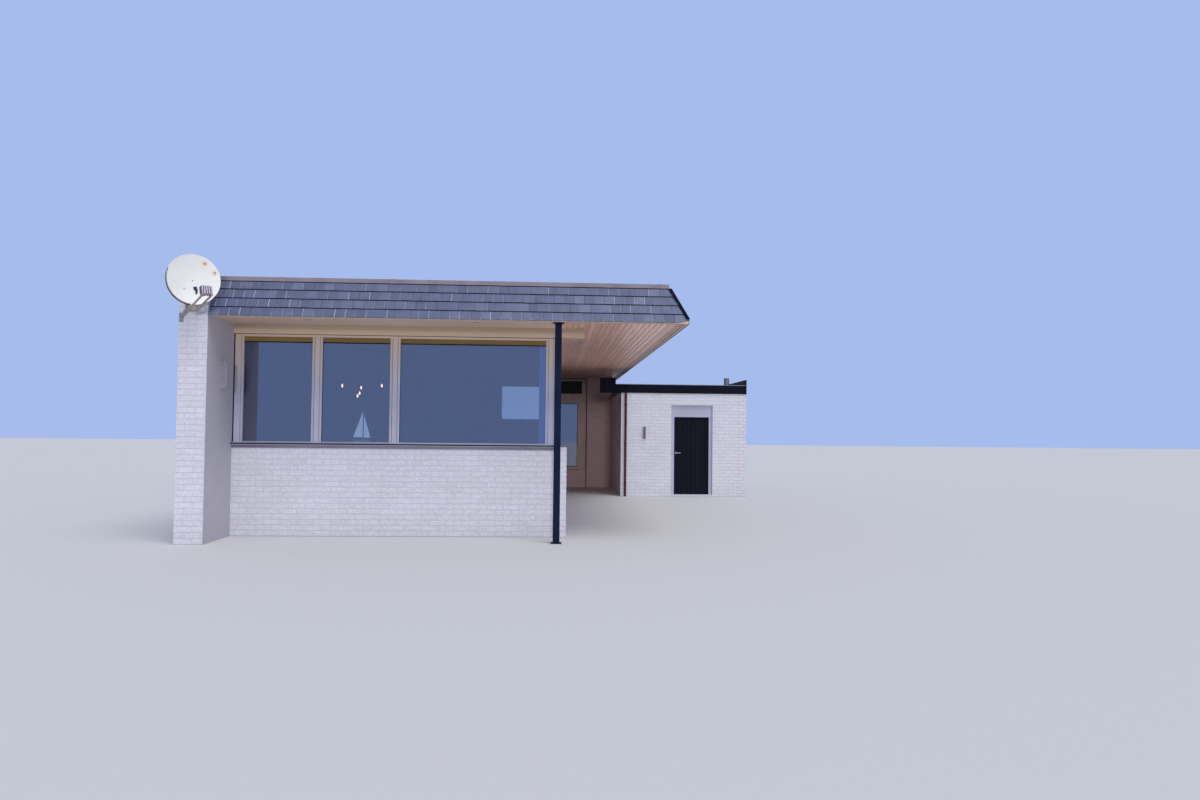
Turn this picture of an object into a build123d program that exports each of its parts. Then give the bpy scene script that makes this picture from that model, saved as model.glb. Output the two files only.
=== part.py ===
from build123d import *
from math import atan, cos, degrees, radians, sin
import os

os.makedirs("parts", exist_ok=True)

# Beach house: a deep single-storey wing with a picture window at the front, a covered
# terrace along its right side and a lower brick annex behind the terrace.
# Millimetres, +X right, +Y to the back, +Z up. The origin is on the ground under the
# middle of the living room's floor.

# Plan of the main wing
living_w = 4650           # clear width between the party wall and the side wall
house_l = 14600           # window wall's face to rear wall's face
party_t = 400             # party wall on the left, which ends in the front pier
wall_t = 240              # every other outer wall
front_recess = 1030       # foot of the slates to the window wall's face
rear_overhang = 450
pier_proud = 20           # how far the pier stands in front of the slates' foot
terrace_w = 1925          # side wall's face to the right-hand eave
terrace_l = 12170         # window wall's face to the terrace's end wall

# Plan of the annex
annex_tuck = 213          # annex wall's face inside the main eave
annex_w = 3193
annex_proud = 3440        # annex front wall in front of the terrace's end wall
canopy_w = 532            # annex roof that reaches under the main soffit
canopy_l = 300
canopy_step = 387         # its higher left part
canopy_step_h = 164

# Heights
floor_h = 500             # living floor over the ground
sill_h = 915              # window sill over the living floor
window_h = 1663
header_h = 152            # window head to the soffit's underside
soffit_t = 20
deck_t = 300
mansard_rise = 508
mansard_run = 255
coping_h = 60
party_over = 20           # party wall's top over the slates' top
annex_floor_h = 50
annex_clear_h = 2560      # annex floor to the underside of its roof
annex_fascia_h = 210
annex_deck_t = 200

# Slated slope, its frame, coping and drip trim
kerb_w = 60               # flat top of the slope's frame
coping_lip = 22           # over the front and rear slates
coping_in = 15
trim_w = 20
trim_lip = 5
trim_drop = 16
cap_h = 60
cap_lip = 20

# Front window
jamb_w = 142
mullion_w = 136
sash_w = 1045             # each of the two narrow lights
post_w = 126              # right-hand corner post
frame_d = 90
frame_set = 20            # frame's face behind the wall's face
frame_head = 33
frame_foot = 12           # the foot rail shows only this much over the sill
glass_t = 24
sill_t = 30
sill_out = 50
blind_h = 85
blind_d = 28              # blind box on the outside of the glass
corner_w = 197            # low brick corner beyond the side wall, under the sill's level
beam_out = 455            # header beam's end beyond the side wall
beam_h = 140

# Plain windows of the sides that the street does not see
plain_w = 2240
rear_w = 1330
rear_h = 1175
rear_x = 1545
small_w = 1005
plain_frame = 60
annex_window_h = 600
annex_window_drop = 200   # its head under the annex roof

# Steel column at the terrace's front corner
column_w = 100
column_in = 4             # its left face inside the side wall's face
column_back = 240         # column's face behind the slates' foot
plate_w = 160
plate_t = 12

# Doors
door_gap = 8
terrace_door_w = 955      # frame's overall width
terrace_leaf_h = 2002
terrace_jamb = 45
terrace_post = 122        # broad jamb on the hinge side
terrace_head = 59
terrace_stile = 108
terrace_rail = 86
transom_bar = 189
door_head_drop = 99       # door frame's head under the soffit
leaf_t = 58
door_frame_d = 100
door_set = 60             # door frame behind its wall's face
stop_w = 20
stop_d = 30
annex_niche_w = 1050
annex_niche_h = 2262
annex_niche_x = 1278      # annex wall's left corner to the niche
annex_leaf_w = 910
annex_leaf_h = 1965
annex_leaf_t = 50
hinge_out = 8             # hinge pin in front of the leaf's inner face
barrel_r = 7
barrel_h = 45
barrel_gap = 0.3          # the leaf's barrels rest this far over the frame's
pin_r = 4
pin_gap = 0.5
flap_w = 32
flap_t = 4
flap_in = 3               # a flap's near edge beside the pin
hinge_levels = (0.12, 0.5, 0.88)
handle_z = 1050           # handle over its floor
handle_in = 65            # handle in from the leaf's edge
rose_r = 25
rose_t = 8
neck_r = 9
neck_l = 40
lever_l = 125
lever_h = 20
lever_t = 14

# Fittings
lamp_h = 420
lamp_w = 50
lamp_d = 65
lamp_z = 2410             # centre of the lamp on the party wall
lamp_y = 460              # in front of the window wall's face
small_lamp_h = 300
small_lamp_w = 58
small_lamp_x = 593        # from the annex's left corner
small_lamp_z = 1600
downlight_r = 45
downlight_t = 6
downlight_y = 410         # behind the slates' foot
downlight_x = (-1050, 1396)
pipe_r = 30
pipe_x = 113              # from the annex's left corner
pipe_off = 15             # clear of the wall
strap_h = 25
strap_levels = (0.12, 0.5, 0.88)
strap_r = 36
vent_r = 70
vent_h = 240
vent_x = 345              # in from the annex's right end
vent_y = 840              # behind the annex's front
upstand_h = 150
upstand_t = 30
fascia_t = 25
fascia_out = 30           # annex roof's edge in front of its wall
drip_h = 14
drip_lip = 6

# Offset satellite dish on the pier
dish_focus = 462
dish_offset = 354         # aperture's centre over the paraboloid's axis
dish_half_w = 366
dish_half_h = 324
dish_t = 4
bowl_spare = 35           # the turned bowl beyond the reflector's upper rim
dish_turn = 41            # from the street towards the right
dish_tilt = 20            # beam over the horizon
dish_z = 3678
dish_standoff = 230       # rim's centre in front of the mast
mast_in = 141             # mast in from the pier's left face
mast_out = 96             # mast in front of the pier's face
mast_r = 20
mast_low = 3268
mast_h = 390
strut_in = 35             # slanted strut's foot in from the pier's left face
strut_z = 3180
foot_w = 60
foot_h = 130
foot_t = 8
seat_gap = 0.3            # running clearance of seated curved faces
clamp_z = 3480
clamp_h = 110
clamp_w = 70
spine_w = 60
spine_d = 60              # spine behind the paraboloid's vertex
arm_r = 14
arm_drop = 70             # arms' foot under the reflector's lower rim
arm_foot_gap = 106
arm_head_gap = 116
lnb_w = 145
lnb_h = 110
lnb_d = 70
horn_r = 32
horn_l = 70

# Levels and lines that follow from the sizes above
z_sill = floor_h + sill_h
z_head = z_sill + window_h
z_soffit = z_head + header_h
z_deck = z_soffit + soffit_t
z_kerb = z_deck + mansard_rise
z_annex = annex_floor_h + annex_clear_h
z_annex_top = z_annex + annex_fascia_h
x_party = -living_w / 2
x_party_out = x_party - party_t
x_side = living_w / 2
x_side_out = x_side + wall_t
x_eave = x_side_out + terrace_w
x_annex = x_eave - annex_tuck
x_annex_out = x_annex + annex_w
x_hall = x_annex - wall_t
y_window = -house_l / 2
y_rear = house_l / 2
y_eave = y_window - front_recess
y_eave_rear = y_rear + rear_overhang
y_pier = y_eave - pier_proud
y_pier_rear = y_eave_rear + pier_proud
y_end = y_window + terrace_l
y_annex = y_end - annex_proud
y_frame = y_window + frame_set
y_frame_in = y_frame + frame_d


def rect(low_u, high_u, low_v, high_v, mode=Mode.ADD):
    """Rectangle between two pairs of lines of the current sketch."""
    with Locations(((low_u + high_u) / 2, (low_v + high_v) / 2)):
        Rectangle(high_u - low_u, high_v - low_v, mode=mode)


def at_y(y):
    """Upright plane across the house. Its extrusions run towards the street."""
    return Plane.XZ.offset(-y)


def at_x(x):
    """Upright plane along the house. Its extrusions run to the right."""
    return Plane.YZ.offset(x)


# Floors

with BuildPart() as living_floor:
    with BuildSketch(Plane.XY):
        rect(x_party, x_side, y_window + wall_t, y_rear - wall_t)
    extrude(amount=floor_h)

with BuildPart() as hall_floor:
    with BuildSketch(Plane.XY):
        rect(x_side, x_hall, y_end + wall_t, y_rear - wall_t)
    extrude(amount=floor_h)

with BuildPart() as annex_floor:
    with BuildSketch(Plane.XY):
        rect(x_annex + wall_t, x_annex_out - wall_t, y_annex + wall_t, y_rear - wall_t)
    extrude(amount=annex_floor_h)

# Walls of the main wing

with BuildPart() as party_wall:
    with BuildSketch(Plane.XY):
        rect(x_party_out, x_party, y_pier, y_pier_rear)
    extrude(amount=z_kerb + party_over)

with BuildPart() as party_wall_cap:
    with BuildSketch(Plane.XY.offset(z_kerb + party_over)):
        rect(x_party_out - cap_lip, x_party + cap_lip, y_pier - cap_lip, y_pier_rear + cap_lip)
    extrude(amount=cap_h)

with BuildPart() as front_wall:
    with BuildSketch(at_x(x_party)):
        rect(y_window, y_window + wall_t, 0, z_sill)
        rect(y_window, y_frame_in, z_sill - sill_t, z_sill, mode=Mode.SUBTRACT)
    extrude(amount=living_w)

with BuildPart() as window_header:
    with BuildSketch(Plane.XY.offset(z_head)):
        rect(x_party, x_side, y_window, y_window + wall_t)
    extrude(amount=z_deck - z_head)
    with BuildSketch(Plane.XY.offset(z_soffit - beam_h)):
        rect(x_side_out, x_side_out + beam_out, y_window, y_window + wall_t)
    extrude(amount=beam_h)

side_windows = (y_window + terrace_l / 4, y_window + terrace_l * 3 / 4)

with BuildPart() as side_wall:
    with BuildSketch(at_x(x_side)):
        rect(y_window, y_end + wall_t, 0, z_deck)
        rect(y_window, y_frame_in, z_sill - sill_t, z_head, mode=Mode.SUBTRACT)
        for y in side_windows:
            rect(y - plain_w / 2, y + plain_w / 2, z_sill, z_head, mode=Mode.SUBTRACT)
    extrude(amount=wall_t)
    with BuildSketch(Plane.XY):
        rect(x_side_out, x_side_out + corner_w, y_window, y_window + wall_t)
    extrude(amount=z_sill - sill_t)

z_annex_sill = z_annex - annex_window_drop - annex_window_h
annex_window_x = (x_annex + x_annex_out) / 2
rear_window = (rear_x - rear_w / 2, rear_x + rear_w / 2, z_head - rear_h, z_head)
annex_window = (annex_window_x - small_w / 2, annex_window_x + small_w / 2,
                z_annex_sill, z_annex_sill + annex_window_h)

with BuildPart() as rear_wall:
    with BuildSketch(at_y(y_rear)):
        rect(x_party, x_annex, 0, z_deck)
        rect(*rear_window, mode=Mode.SUBTRACT)
    extrude(amount=wall_t)

with BuildPart() as hall_wall:
    with BuildSketch(Plane.XY):
        rect(x_hall, x_annex, y_end + wall_t, y_rear - wall_t)
    extrude(amount=z_deck)

# Terrace's end wall beside its doorway. Plinths and lintels close both doorways' walls.

x_door = x_side_out + terrace_door_w
z_leaf = floor_h + door_gap
z_leaf_top = z_leaf + terrace_leaf_h
z_bar = z_leaf_top + door_gap
z_transom = z_bar + transom_bar
z_door_head = z_soffit - door_head_drop
z_transom_top = z_door_head - terrace_head
x_niche = x_annex + annex_niche_x
x_niche_out = x_niche + annex_niche_w
z_niche = annex_floor_h + annex_niche_h

with BuildPart() as end_wall:
    with BuildSketch(Plane.XY):
        rect(x_door, x_annex, y_end, y_end + wall_t)
    extrude(amount=z_deck)

with BuildPart() as door_plinths:
    with BuildSketch(Plane.XY):
        rect(x_side_out, x_door, y_end, y_end + wall_t)
    extrude(amount=floor_h)
    with BuildSketch(Plane.XY):
        rect(x_niche, x_niche_out, y_annex, y_annex + wall_t)
    extrude(amount=annex_floor_h)

with BuildPart() as door_lintels:
    with BuildSketch(Plane.XY.offset(z_door_head)):
        rect(x_side_out, x_door, y_end, y_end + wall_t)
    extrude(amount=z_deck - z_door_head)
    with BuildSketch(Plane.XY.offset(z_niche)):
        rect(x_niche, x_niche_out, y_annex, y_annex + wall_t)
    extrude(amount=z_annex - z_niche)

# Windows

x_light_1 = x_party + jamb_w
x_light_2 = x_light_1 + sash_w + mullion_w
x_light_3 = x_light_2 + sash_w + mullion_w
lights = (
    (x_light_1, x_light_1 + sash_w),
    (x_light_2, x_light_2 + sash_w),
    (x_light_3, x_side_out - post_w),
)

with BuildPart() as front_window_frame:
    with BuildSketch(at_y(y_frame_in)):
        rect(x_party, x_side_out, z_sill, z_head)
        for low, high in lights:
            rect(low, high, z_sill + frame_foot, z_head - frame_head, mode=Mode.SUBTRACT)
    extrude(amount=frame_d)

with BuildPart() as blind_boxes:
    with BuildSketch(at_y(y_frame + (frame_d - glass_t) / 2)):
        for low, high in lights:
            rect(low, high, z_head - frame_head - blind_h, z_head - frame_head)
    extrude(amount=blind_d)

with BuildPart() as window_sills:
    with BuildSketch(Plane.XY.offset(z_sill - sill_t)):
        rect(x_party, x_side_out, y_window - sill_out, y_frame_in)
    extrude(amount=sill_t)


def inside_frame(low_u, high_u, low_v, high_v):
    """Lines of the glass inside a plain window's frame."""
    return low_u + plain_frame, high_u - plain_frame, low_v + plain_frame, high_v - plain_frame


with BuildPart() as plain_window_frames:
    with BuildSketch(at_x(x_side_out - frame_set - frame_d)):
        for y in side_windows:
            rect(y - plain_w / 2, y + plain_w / 2, z_sill, z_head)
            rect(*inside_frame(y - plain_w / 2, y + plain_w / 2, z_sill, z_head), mode=Mode.SUBTRACT)
    extrude(amount=frame_d)
    with BuildSketch(at_y(y_rear - frame_set)):
        for window in (rear_window, annex_window):
            rect(*window)
            rect(*inside_frame(*window), mode=Mode.SUBTRACT)
    extrude(amount=frame_d)

with BuildPart() as window_glass:
    with BuildSketch(at_y(y_frame + (frame_d + glass_t) / 2)):
        for low, high in lights:
            rect(low, high, z_sill + frame_foot, z_head - frame_head)
    extrude(amount=glass_t)
    with BuildSketch(at_x(x_side_out - frame_set - (frame_d + glass_t) / 2)):
        for y in side_windows:
            rect(*inside_frame(y - plain_w / 2, y + plain_w / 2, z_sill, z_head))
    extrude(amount=glass_t)
    with BuildSketch(at_y(y_rear - frame_set - (frame_d - glass_t) / 2)):
        for window in (rear_window, annex_window):
            rect(*inside_frame(*window))
    extrude(amount=glass_t)
    with BuildSketch(at_y(y_end + door_set + (door_frame_d + glass_t) / 2)):
        rect(x_side_out + terrace_jamb, x_door - terrace_post, z_transom, z_transom_top)
    extrude(amount=glass_t)

# Flat roof and its slated slope, hipped at the two right-hand corners

slope_w = mansard_run + kerb_w

with BuildPart() as roof_deck:
    with BuildSketch(Plane.XY.offset(z_deck)):
        rect(x_party, x_eave - slope_w, y_eave + slope_w, y_eave_rear - slope_w)
    extrude(amount=deck_t)

with BuildPart() as soffit_boards:
    with BuildSketch(Plane.XY.offset(z_soffit)):
        rect(x_party, x_eave - trim_w, y_eave + trim_w, y_eave_rear - trim_w)
        rect(x_party, x_side_out, y_window, y_rear, mode=Mode.SUBTRACT)
        rect(x_side_out, x_annex, y_end, y_rear, mode=Mode.SUBTRACT)
    extrude(amount=soffit_t)

slope_angle = degrees(atan(mansard_run / mansard_rise))
front_hip = Plane((x_eave, y_eave, 0), x_dir=(0, 0, 1), z_dir=(1, 1, 0))
rear_hip = Plane((x_eave, y_eave_rear, 0), x_dir=(0, 0, 1), z_dir=(1, -1, 0))


with BuildPart() as slope_ring:
    with BuildSketch(Plane.XY.offset(z_deck)):
        rect(x_party - mansard_run, x_eave, y_eave, y_eave_rear)
    extrude(amount=mansard_rise, taper=slope_angle)
    with BuildSketch(Plane.XY.offset(z_deck)):
        rect(x_party - mansard_run, x_eave - slope_w, y_eave + slope_w, y_eave_rear - slope_w)
    extrude(amount=mansard_rise, mode=Mode.SUBTRACT)
    split(bisect_by=at_x(x_party), keep=Keep.TOP)

with BuildPart() as front_slope:
    add(slope_ring.part)
    split(bisect_by=Plane.XZ, keep=Keep.TOP)
    split(bisect_by=front_hip, keep=Keep.BOTTOM)

with BuildPart() as right_slope:
    add(slope_ring.part)
    split(bisect_by=front_hip, keep=Keep.TOP)
    split(bisect_by=rear_hip, keep=Keep.TOP)

with BuildPart() as rear_slope:
    add(slope_ring.part)
    split(bisect_by=Plane.XZ, keep=Keep.BOTTOM)
    split(bisect_by=rear_hip, keep=Keep.BOTTOM)

with BuildPart() as roof_coping:
    coping_out = mansard_run - coping_lip
    with BuildSketch(Plane.XY.offset(z_kerb)):
        rect(x_party + cap_lip, x_eave - mansard_run, y_eave + coping_out, y_eave_rear - coping_out)
        rect(x_party + cap_lip, x_eave - slope_w - coping_in,
             y_eave + slope_w + coping_in, y_eave_rear - slope_w - coping_in, mode=Mode.SUBTRACT)
    extrude(amount=coping_h)

with BuildPart() as eaves_trim:
    with BuildSketch(Plane.XY.offset(z_soffit - trim_drop)):
        rect(x_party, x_eave + trim_lip, y_eave - trim_lip, y_eave_rear + trim_lip)
        rect(x_party, x_eave - trim_w, y_eave + trim_w, y_eave_rear - trim_w, mode=Mode.SUBTRACT)
    extrude(amount=soffit_t + trim_drop)

# Steel column with its foot and head plates

x_column = x_side_out - column_in + column_w / 2
y_column = y_eave + column_back + column_w / 2

with BuildPart() as terrace_column:
    with BuildSketch(Plane.XY):
        with Locations((x_column, y_column)):
            Rectangle(column_w, column_w)
    extrude(amount=z_soffit)
    with BuildSketch(Plane.XY, Plane.XY.offset(z_soffit - plate_t)):
        with Locations((x_column, y_column)):
            Rectangle(plate_w, plate_w)
    extrude(amount=plate_t)

# Walls of the annex

with BuildPart() as annex_left_wall:
    with BuildSketch(Plane.XY):
        rect(x_annex, x_annex + wall_t, y_annex, y_rear)
    extrude(amount=z_annex)

with BuildPart() as annex_party_wall:
    with BuildSketch(Plane.XY):
        rect(x_annex_out - wall_t, x_annex_out, y_annex, y_rear)
    extrude(amount=z_annex)

with BuildPart() as annex_rear_wall:
    with BuildSketch(at_y(y_rear)):
        rect(x_annex + wall_t, x_annex_out - wall_t, 0, z_annex)
        rect(*annex_window, mode=Mode.SUBTRACT)
    extrude(amount=wall_t)

with BuildPart() as annex_front_wall:
    with BuildSketch(Plane.XY):
        rect(x_annex + wall_t, x_niche, y_annex, y_annex + wall_t)
        rect(x_niche_out, x_annex_out - wall_t, y_annex, y_annex + wall_t)
    extrude(amount=z_annex)

# Flat roof of the annex, with the short canopy that reaches under the main soffit

y_annex_eave = y_annex - fascia_out
y_annex_eave_rear = y_rear + fascia_out
y_canopy = y_annex_eave + canopy_l
x_canopy = x_annex - canopy_w
x_canopy_step = x_canopy + canopy_step

with BuildPart() as annex_roof:
    with BuildSketch(Plane.XY.offset(z_annex)):
        rect(x_annex, x_annex_out - upstand_t, y_annex_eave + fascia_t, y_annex_eave_rear - fascia_t)
    extrude(amount=annex_deck_t)

with BuildPart() as annex_canopy:
    with BuildSketch(Plane.XY.offset(z_annex)):
        rect(x_canopy + fascia_t, x_annex, y_annex_eave + fascia_t, y_canopy)
    extrude(amount=annex_deck_t)
    with BuildSketch(Plane.XY.offset(z_annex + annex_deck_t)):
        rect(x_canopy + fascia_t, x_canopy_step, y_annex_eave + fascia_t, y_canopy)
    extrude(amount=annex_fascia_h + canopy_step_h - annex_deck_t)

with BuildPart() as annex_fascia:
    with BuildSketch(Plane.XY.offset(z_annex)):
        rect(x_canopy, x_annex_out - upstand_t, y_annex_eave, y_annex_eave + fascia_t)
        rect(x_canopy, x_canopy + fascia_t, y_annex_eave, y_canopy)
        rect(x_annex, x_annex_out - upstand_t, y_annex_eave_rear - fascia_t, y_annex_eave_rear)
    extrude(amount=annex_fascia_h)
    with BuildSketch(Plane.XY.offset(z_annex_top)):
        rect(x_canopy, x_canopy_step, y_annex_eave, y_annex_eave + fascia_t)
        rect(x_canopy, x_canopy + fascia_t, y_annex_eave, y_canopy)
    extrude(amount=canopy_step_h)

with BuildPart() as annex_upstand:
    with BuildSketch(Plane.XY.offset(z_annex)):
        rect(x_annex_out - upstand_t, x_annex_out, y_annex_eave, y_annex_eave_rear)
    extrude(amount=annex_fascia_h + upstand_h)

with BuildPart() as annex_drip:
    with BuildSketch(Plane.XY.offset(z_annex_top)):
        rect(x_canopy_step, x_annex_out - upstand_t,
             y_annex_eave - drip_lip, y_annex_eave + fascia_t + drip_lip)
    extrude(amount=drip_h)

# Terrace door: fixed frame with a bar under the transom light, and a glazed leaf

y_door = y_end + door_set
y_door_in = y_door + door_frame_d
y_leaf = y_door_in - leaf_t
x_leaf = x_side_out + terrace_jamb + door_gap
x_leaf_out = x_door - terrace_post - door_gap

with BuildPart() as terrace_door_frame:
    with BuildSketch(at_y(y_door_in)):
        rect(x_side_out, x_door, floor_h, z_door_head)
        rect(x_side_out + terrace_jamb, x_door - terrace_post, floor_h, z_bar, mode=Mode.SUBTRACT)
        rect(x_side_out + terrace_jamb, x_door - terrace_post,
             z_transom, z_transom_top, mode=Mode.SUBTRACT)
    extrude(amount=door_frame_d)
    with BuildSketch(at_y(y_door + stop_d)):
        rect(x_side_out + terrace_jamb, x_door - terrace_post, floor_h, z_bar)
        rect(x_side_out + terrace_jamb + stop_w, x_door - terrace_post - stop_w,
             floor_h, z_bar - stop_w, mode=Mode.SUBTRACT)
    extrude(amount=stop_d)

with BuildPart() as terrace_door_leaf:
    with BuildSketch(at_y(y_door_in)):
        rect(x_leaf, x_leaf_out, z_leaf, z_leaf_top)
        rect(x_leaf + terrace_stile, x_leaf_out - terrace_stile,
             z_leaf + terrace_rail, z_leaf_top - terrace_rail, mode=Mode.SUBTRACT)
    extrude(amount=leaf_t)

with BuildPart() as terrace_door_glass:
    with BuildSketch(at_y(y_door_in - (leaf_t - glass_t) / 2)):
        rect(x_leaf + terrace_stile, x_leaf_out - terrace_stile,
             z_leaf + terrace_rail, z_leaf_top - terrace_rail)
    extrude(amount=glass_t)


def leaf_fittings(x_free, x_pin, y_out, y_in, z_floor, z_low, leaf_h):
    """A leaf's lever handles on both faces, and its barrels on the hinge side."""
    with BuildPart() as fittings:
        for face, side in ((y_out, 1), (y_in, -1)):
            with BuildSketch(at_y(face)):
                with Locations((x_free + handle_in, z_floor + handle_z)):
                    Circle(rose_r)
            extrude(amount=side * rose_t)
            with BuildSketch(at_y(face)):
                with Locations((x_free + handle_in, z_floor + handle_z)):
                    Circle(neck_r)
            extrude(amount=side * (rose_t + neck_l))
            with BuildSketch(at_y(face - side * (rose_t + neck_l))):
                with Locations((x_free + handle_in + lever_l / 2 - neck_r, z_floor + handle_z)):
                    SlotOverall(lever_l, lever_h)
            extrude(amount=side * lever_t)
        for level in hinge_levels:
            with BuildSketch(Plane.XY.offset(z_low + leaf_h * level + barrel_gap)):
                with Locations((x_pin, y_in + hinge_out)):
                    Circle(barrel_r)
                rect(x_pin - flap_w, x_pin - flap_in, y_in, y_in + flap_t)
                with Locations((x_pin, y_in + hinge_out)):
                    Circle(pin_r + pin_gap, mode=Mode.SUBTRACT)
            extrude(amount=barrel_h)
    return fittings


terrace_door_fittings = leaf_fittings(x_leaf, x_leaf_out, y_leaf, y_door_in,
                                      floor_h, z_leaf, terrace_leaf_h)

# Annex door: frame with a fixed white panel over the dark leaf

y_annex_door = y_annex + door_set
y_annex_door_in = y_annex_door + door_frame_d
annex_jamb = (annex_niche_w - annex_leaf_w) / 2 - door_gap
z_annex_leaf = annex_floor_h + door_gap
z_annex_leaf_top = z_annex_leaf + annex_leaf_h
x_annex_leaf = x_niche + annex_jamb + door_gap
x_annex_leaf_out = x_annex_leaf + annex_leaf_w

with BuildPart() as annex_door_frame:
    with BuildSketch(at_y(y_annex_door_in)):
        rect(x_niche, x_niche_out, annex_floor_h, z_niche)
        rect(x_niche + annex_jamb, x_niche_out - annex_jamb,
             annex_floor_h, z_annex_leaf_top + door_gap, mode=Mode.SUBTRACT)
    extrude(amount=door_frame_d)
    with BuildSketch(at_y(y_annex_door + stop_d)):
        rect(x_niche + annex_jamb, x_niche_out - annex_jamb, annex_floor_h, z_annex_leaf_top + door_gap)
        rect(x_niche + annex_jamb + stop_w, x_niche_out - annex_jamb - stop_w,
             annex_floor_h, z_annex_leaf_top + door_gap - stop_w, mode=Mode.SUBTRACT)
    extrude(amount=stop_d)

with BuildPart() as annex_door_leaf:
    with BuildSketch(at_y(y_annex_door_in)):
        rect(x_annex_leaf, x_annex_leaf_out, z_annex_leaf, z_annex_leaf_top)
    extrude(amount=annex_leaf_t)

annex_door_fittings = leaf_fittings(x_annex_leaf, x_annex_leaf_out,
                                    y_annex_door_in - annex_leaf_t, y_annex_door_in,
                                    annex_floor_h, z_annex_leaf, annex_leaf_h)

hinge_lines = (
    (x_leaf_out, y_door_in, z_leaf, terrace_leaf_h),
    (x_annex_leaf_out, y_annex_door_in, z_annex_leaf, annex_leaf_h),
)

with BuildPart() as door_hinges:
    for x, y, z, h in hinge_lines:
        for level in hinge_levels:
            with BuildSketch(Plane.XY.offset(z + h * level - barrel_h)):
                with Locations((x, y + hinge_out)):
                    Circle(barrel_r)
                rect(x + flap_in, x + flap_w, y, y + flap_t)
            extrude(amount=barrel_h)
            with BuildSketch(Plane.XY.offset(z + h * level - barrel_h)):
                with Locations((x, y + hinge_out)):
                    Circle(pin_r)
            extrude(amount=barrel_h * 2)

# Lamps, downlights, downpipe and roof vent

with BuildPart() as wall_lamps:
    with BuildSketch(Plane.XY.offset(lamp_z - lamp_h / 2)):
        rect(x_party, x_party + lamp_d, y_window - lamp_y - lamp_w / 2, y_window - lamp_y + lamp_w / 2)
    extrude(amount=lamp_h)
    x_lamp = x_annex + small_lamp_x
    with BuildSketch(Plane.XY.offset(small_lamp_z - small_lamp_h / 2)):
        rect(x_lamp - small_lamp_w / 2, x_lamp + small_lamp_w / 2, y_annex - lamp_d, y_annex)
    extrude(amount=small_lamp_h)

with BuildPart() as downlights:
    with BuildSketch(Plane.XY.offset(z_soffit - downlight_t)):
        for x in downlight_x:
            with Locations((x, y_eave + downlight_y)):
                Circle(downlight_r)
    extrude(amount=downlight_t)

with BuildPart() as downpipe:
    pipe_at = (x_annex + pipe_x, y_annex - pipe_off - pipe_r)
    with BuildSketch(Plane.XY):
        with Locations(pipe_at):
            Circle(pipe_r)
    extrude(amount=z_annex)
    for share in strap_levels:
        with BuildSketch(Plane.XY.offset(z_annex * share)):
            with Locations(pipe_at):
                Circle(strap_r)
            rect(pipe_at[0] - pipe_r / 2, pipe_at[0] + pipe_r / 2, pipe_at[1], y_annex)
        extrude(amount=strap_h)

with BuildPart() as roof_vent:
    with BuildSketch(Plane.XY.offset(z_annex + annex_deck_t)):
        with Locations((x_annex_out - vent_x, y_annex + vent_y)):
            Circle(vent_r)
    extrude(amount=annex_fascia_h - annex_deck_t + vent_h)

# Offset dish: part of a paraboloid, cut out by an oval tube along its beam

turn = radians(dish_turn)
tilt = radians(dish_tilt)
beam = Vector(cos(tilt) * sin(turn), -cos(tilt) * cos(turn), sin(tilt))
across = Vector(cos(turn), sin(turn), 0)
up = beam.cross(across)
mast_x = x_party_out + mast_in
mast_y = y_pier - mast_out
rim_centre = Vector(mast_x + dish_standoff * sin(turn), mast_y - dish_standoff * cos(turn), dish_z)
rim_depth = (dish_offset ** 2 + dish_half_h ** 2) / (4 * dish_focus)
vertex = rim_centre - up * dish_offset - beam * rim_depth
dish_frame = Plane(vertex, x_dir=across, z_dir=beam)
dish_section = Plane(vertex, x_dir=across, z_dir=-up)
bowl_r = dish_offset + dish_half_h + bowl_spare
bowl_h = bowl_r ** 2 / (4 * dish_focus)

with BuildPart() as dish_reflector:
    with BuildSketch(dish_section):
        with BuildLine():
            Bezier((0, 0), (bowl_r / 2, 0), (bowl_r, bowl_h))
            Line((bowl_r, bowl_h), (bowl_r, bowl_h - dish_t))
            Bezier((bowl_r, bowl_h - dish_t), (bowl_r / 2, -dish_t), (0, -dish_t))
            Line((0, -dish_t), (0, 0))
        make_face()
    revolve(axis=Axis(vertex, beam))
    with BuildSketch(dish_frame.offset(-dish_focus)):
        with Locations((0, dish_offset)):
            Ellipse(dish_half_w, dish_half_h)
    extrude(amount=dish_focus + bowl_h, mode=Mode.INTERSECT)

# Everything in front of the reflector's back, kept clear of the bracket behind it
back = dish_t + seat_gap

with BuildPart() as bowl_front:
    with BuildSketch(dish_section):
        with BuildLine():
            Bezier((0, -back), (bowl_r / 2, -back), (bowl_r, bowl_h - back))
            Line((bowl_r, bowl_h - back), (bowl_r, bowl_h))
            Line((bowl_r, bowl_h), (0, bowl_h))
            Line((0, bowl_h), (0, -back))
        make_face()
    revolve(axis=Axis(vertex, beam))

arm_foot_y = dish_offset - dish_half_h - arm_drop
arm_seat_y = -lnb_h / 2 - arm_r - seat_gap
arm_reach = (dish_focus + lnb_d + spine_d / 2) / (dish_focus + spine_d / 2)
arm_head_y = arm_foot_y + (arm_seat_y - arm_foot_y) * arm_reach

with BuildPart() as dish_feed:
    with BuildSketch(dish_frame.offset(dish_focus)):
        Rectangle(lnb_w, lnb_h)
    extrude(amount=lnb_d)
    with BuildSketch(dish_frame.offset(dish_focus)):
        Circle(horn_r)
    extrude(amount=-horn_l)

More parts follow.
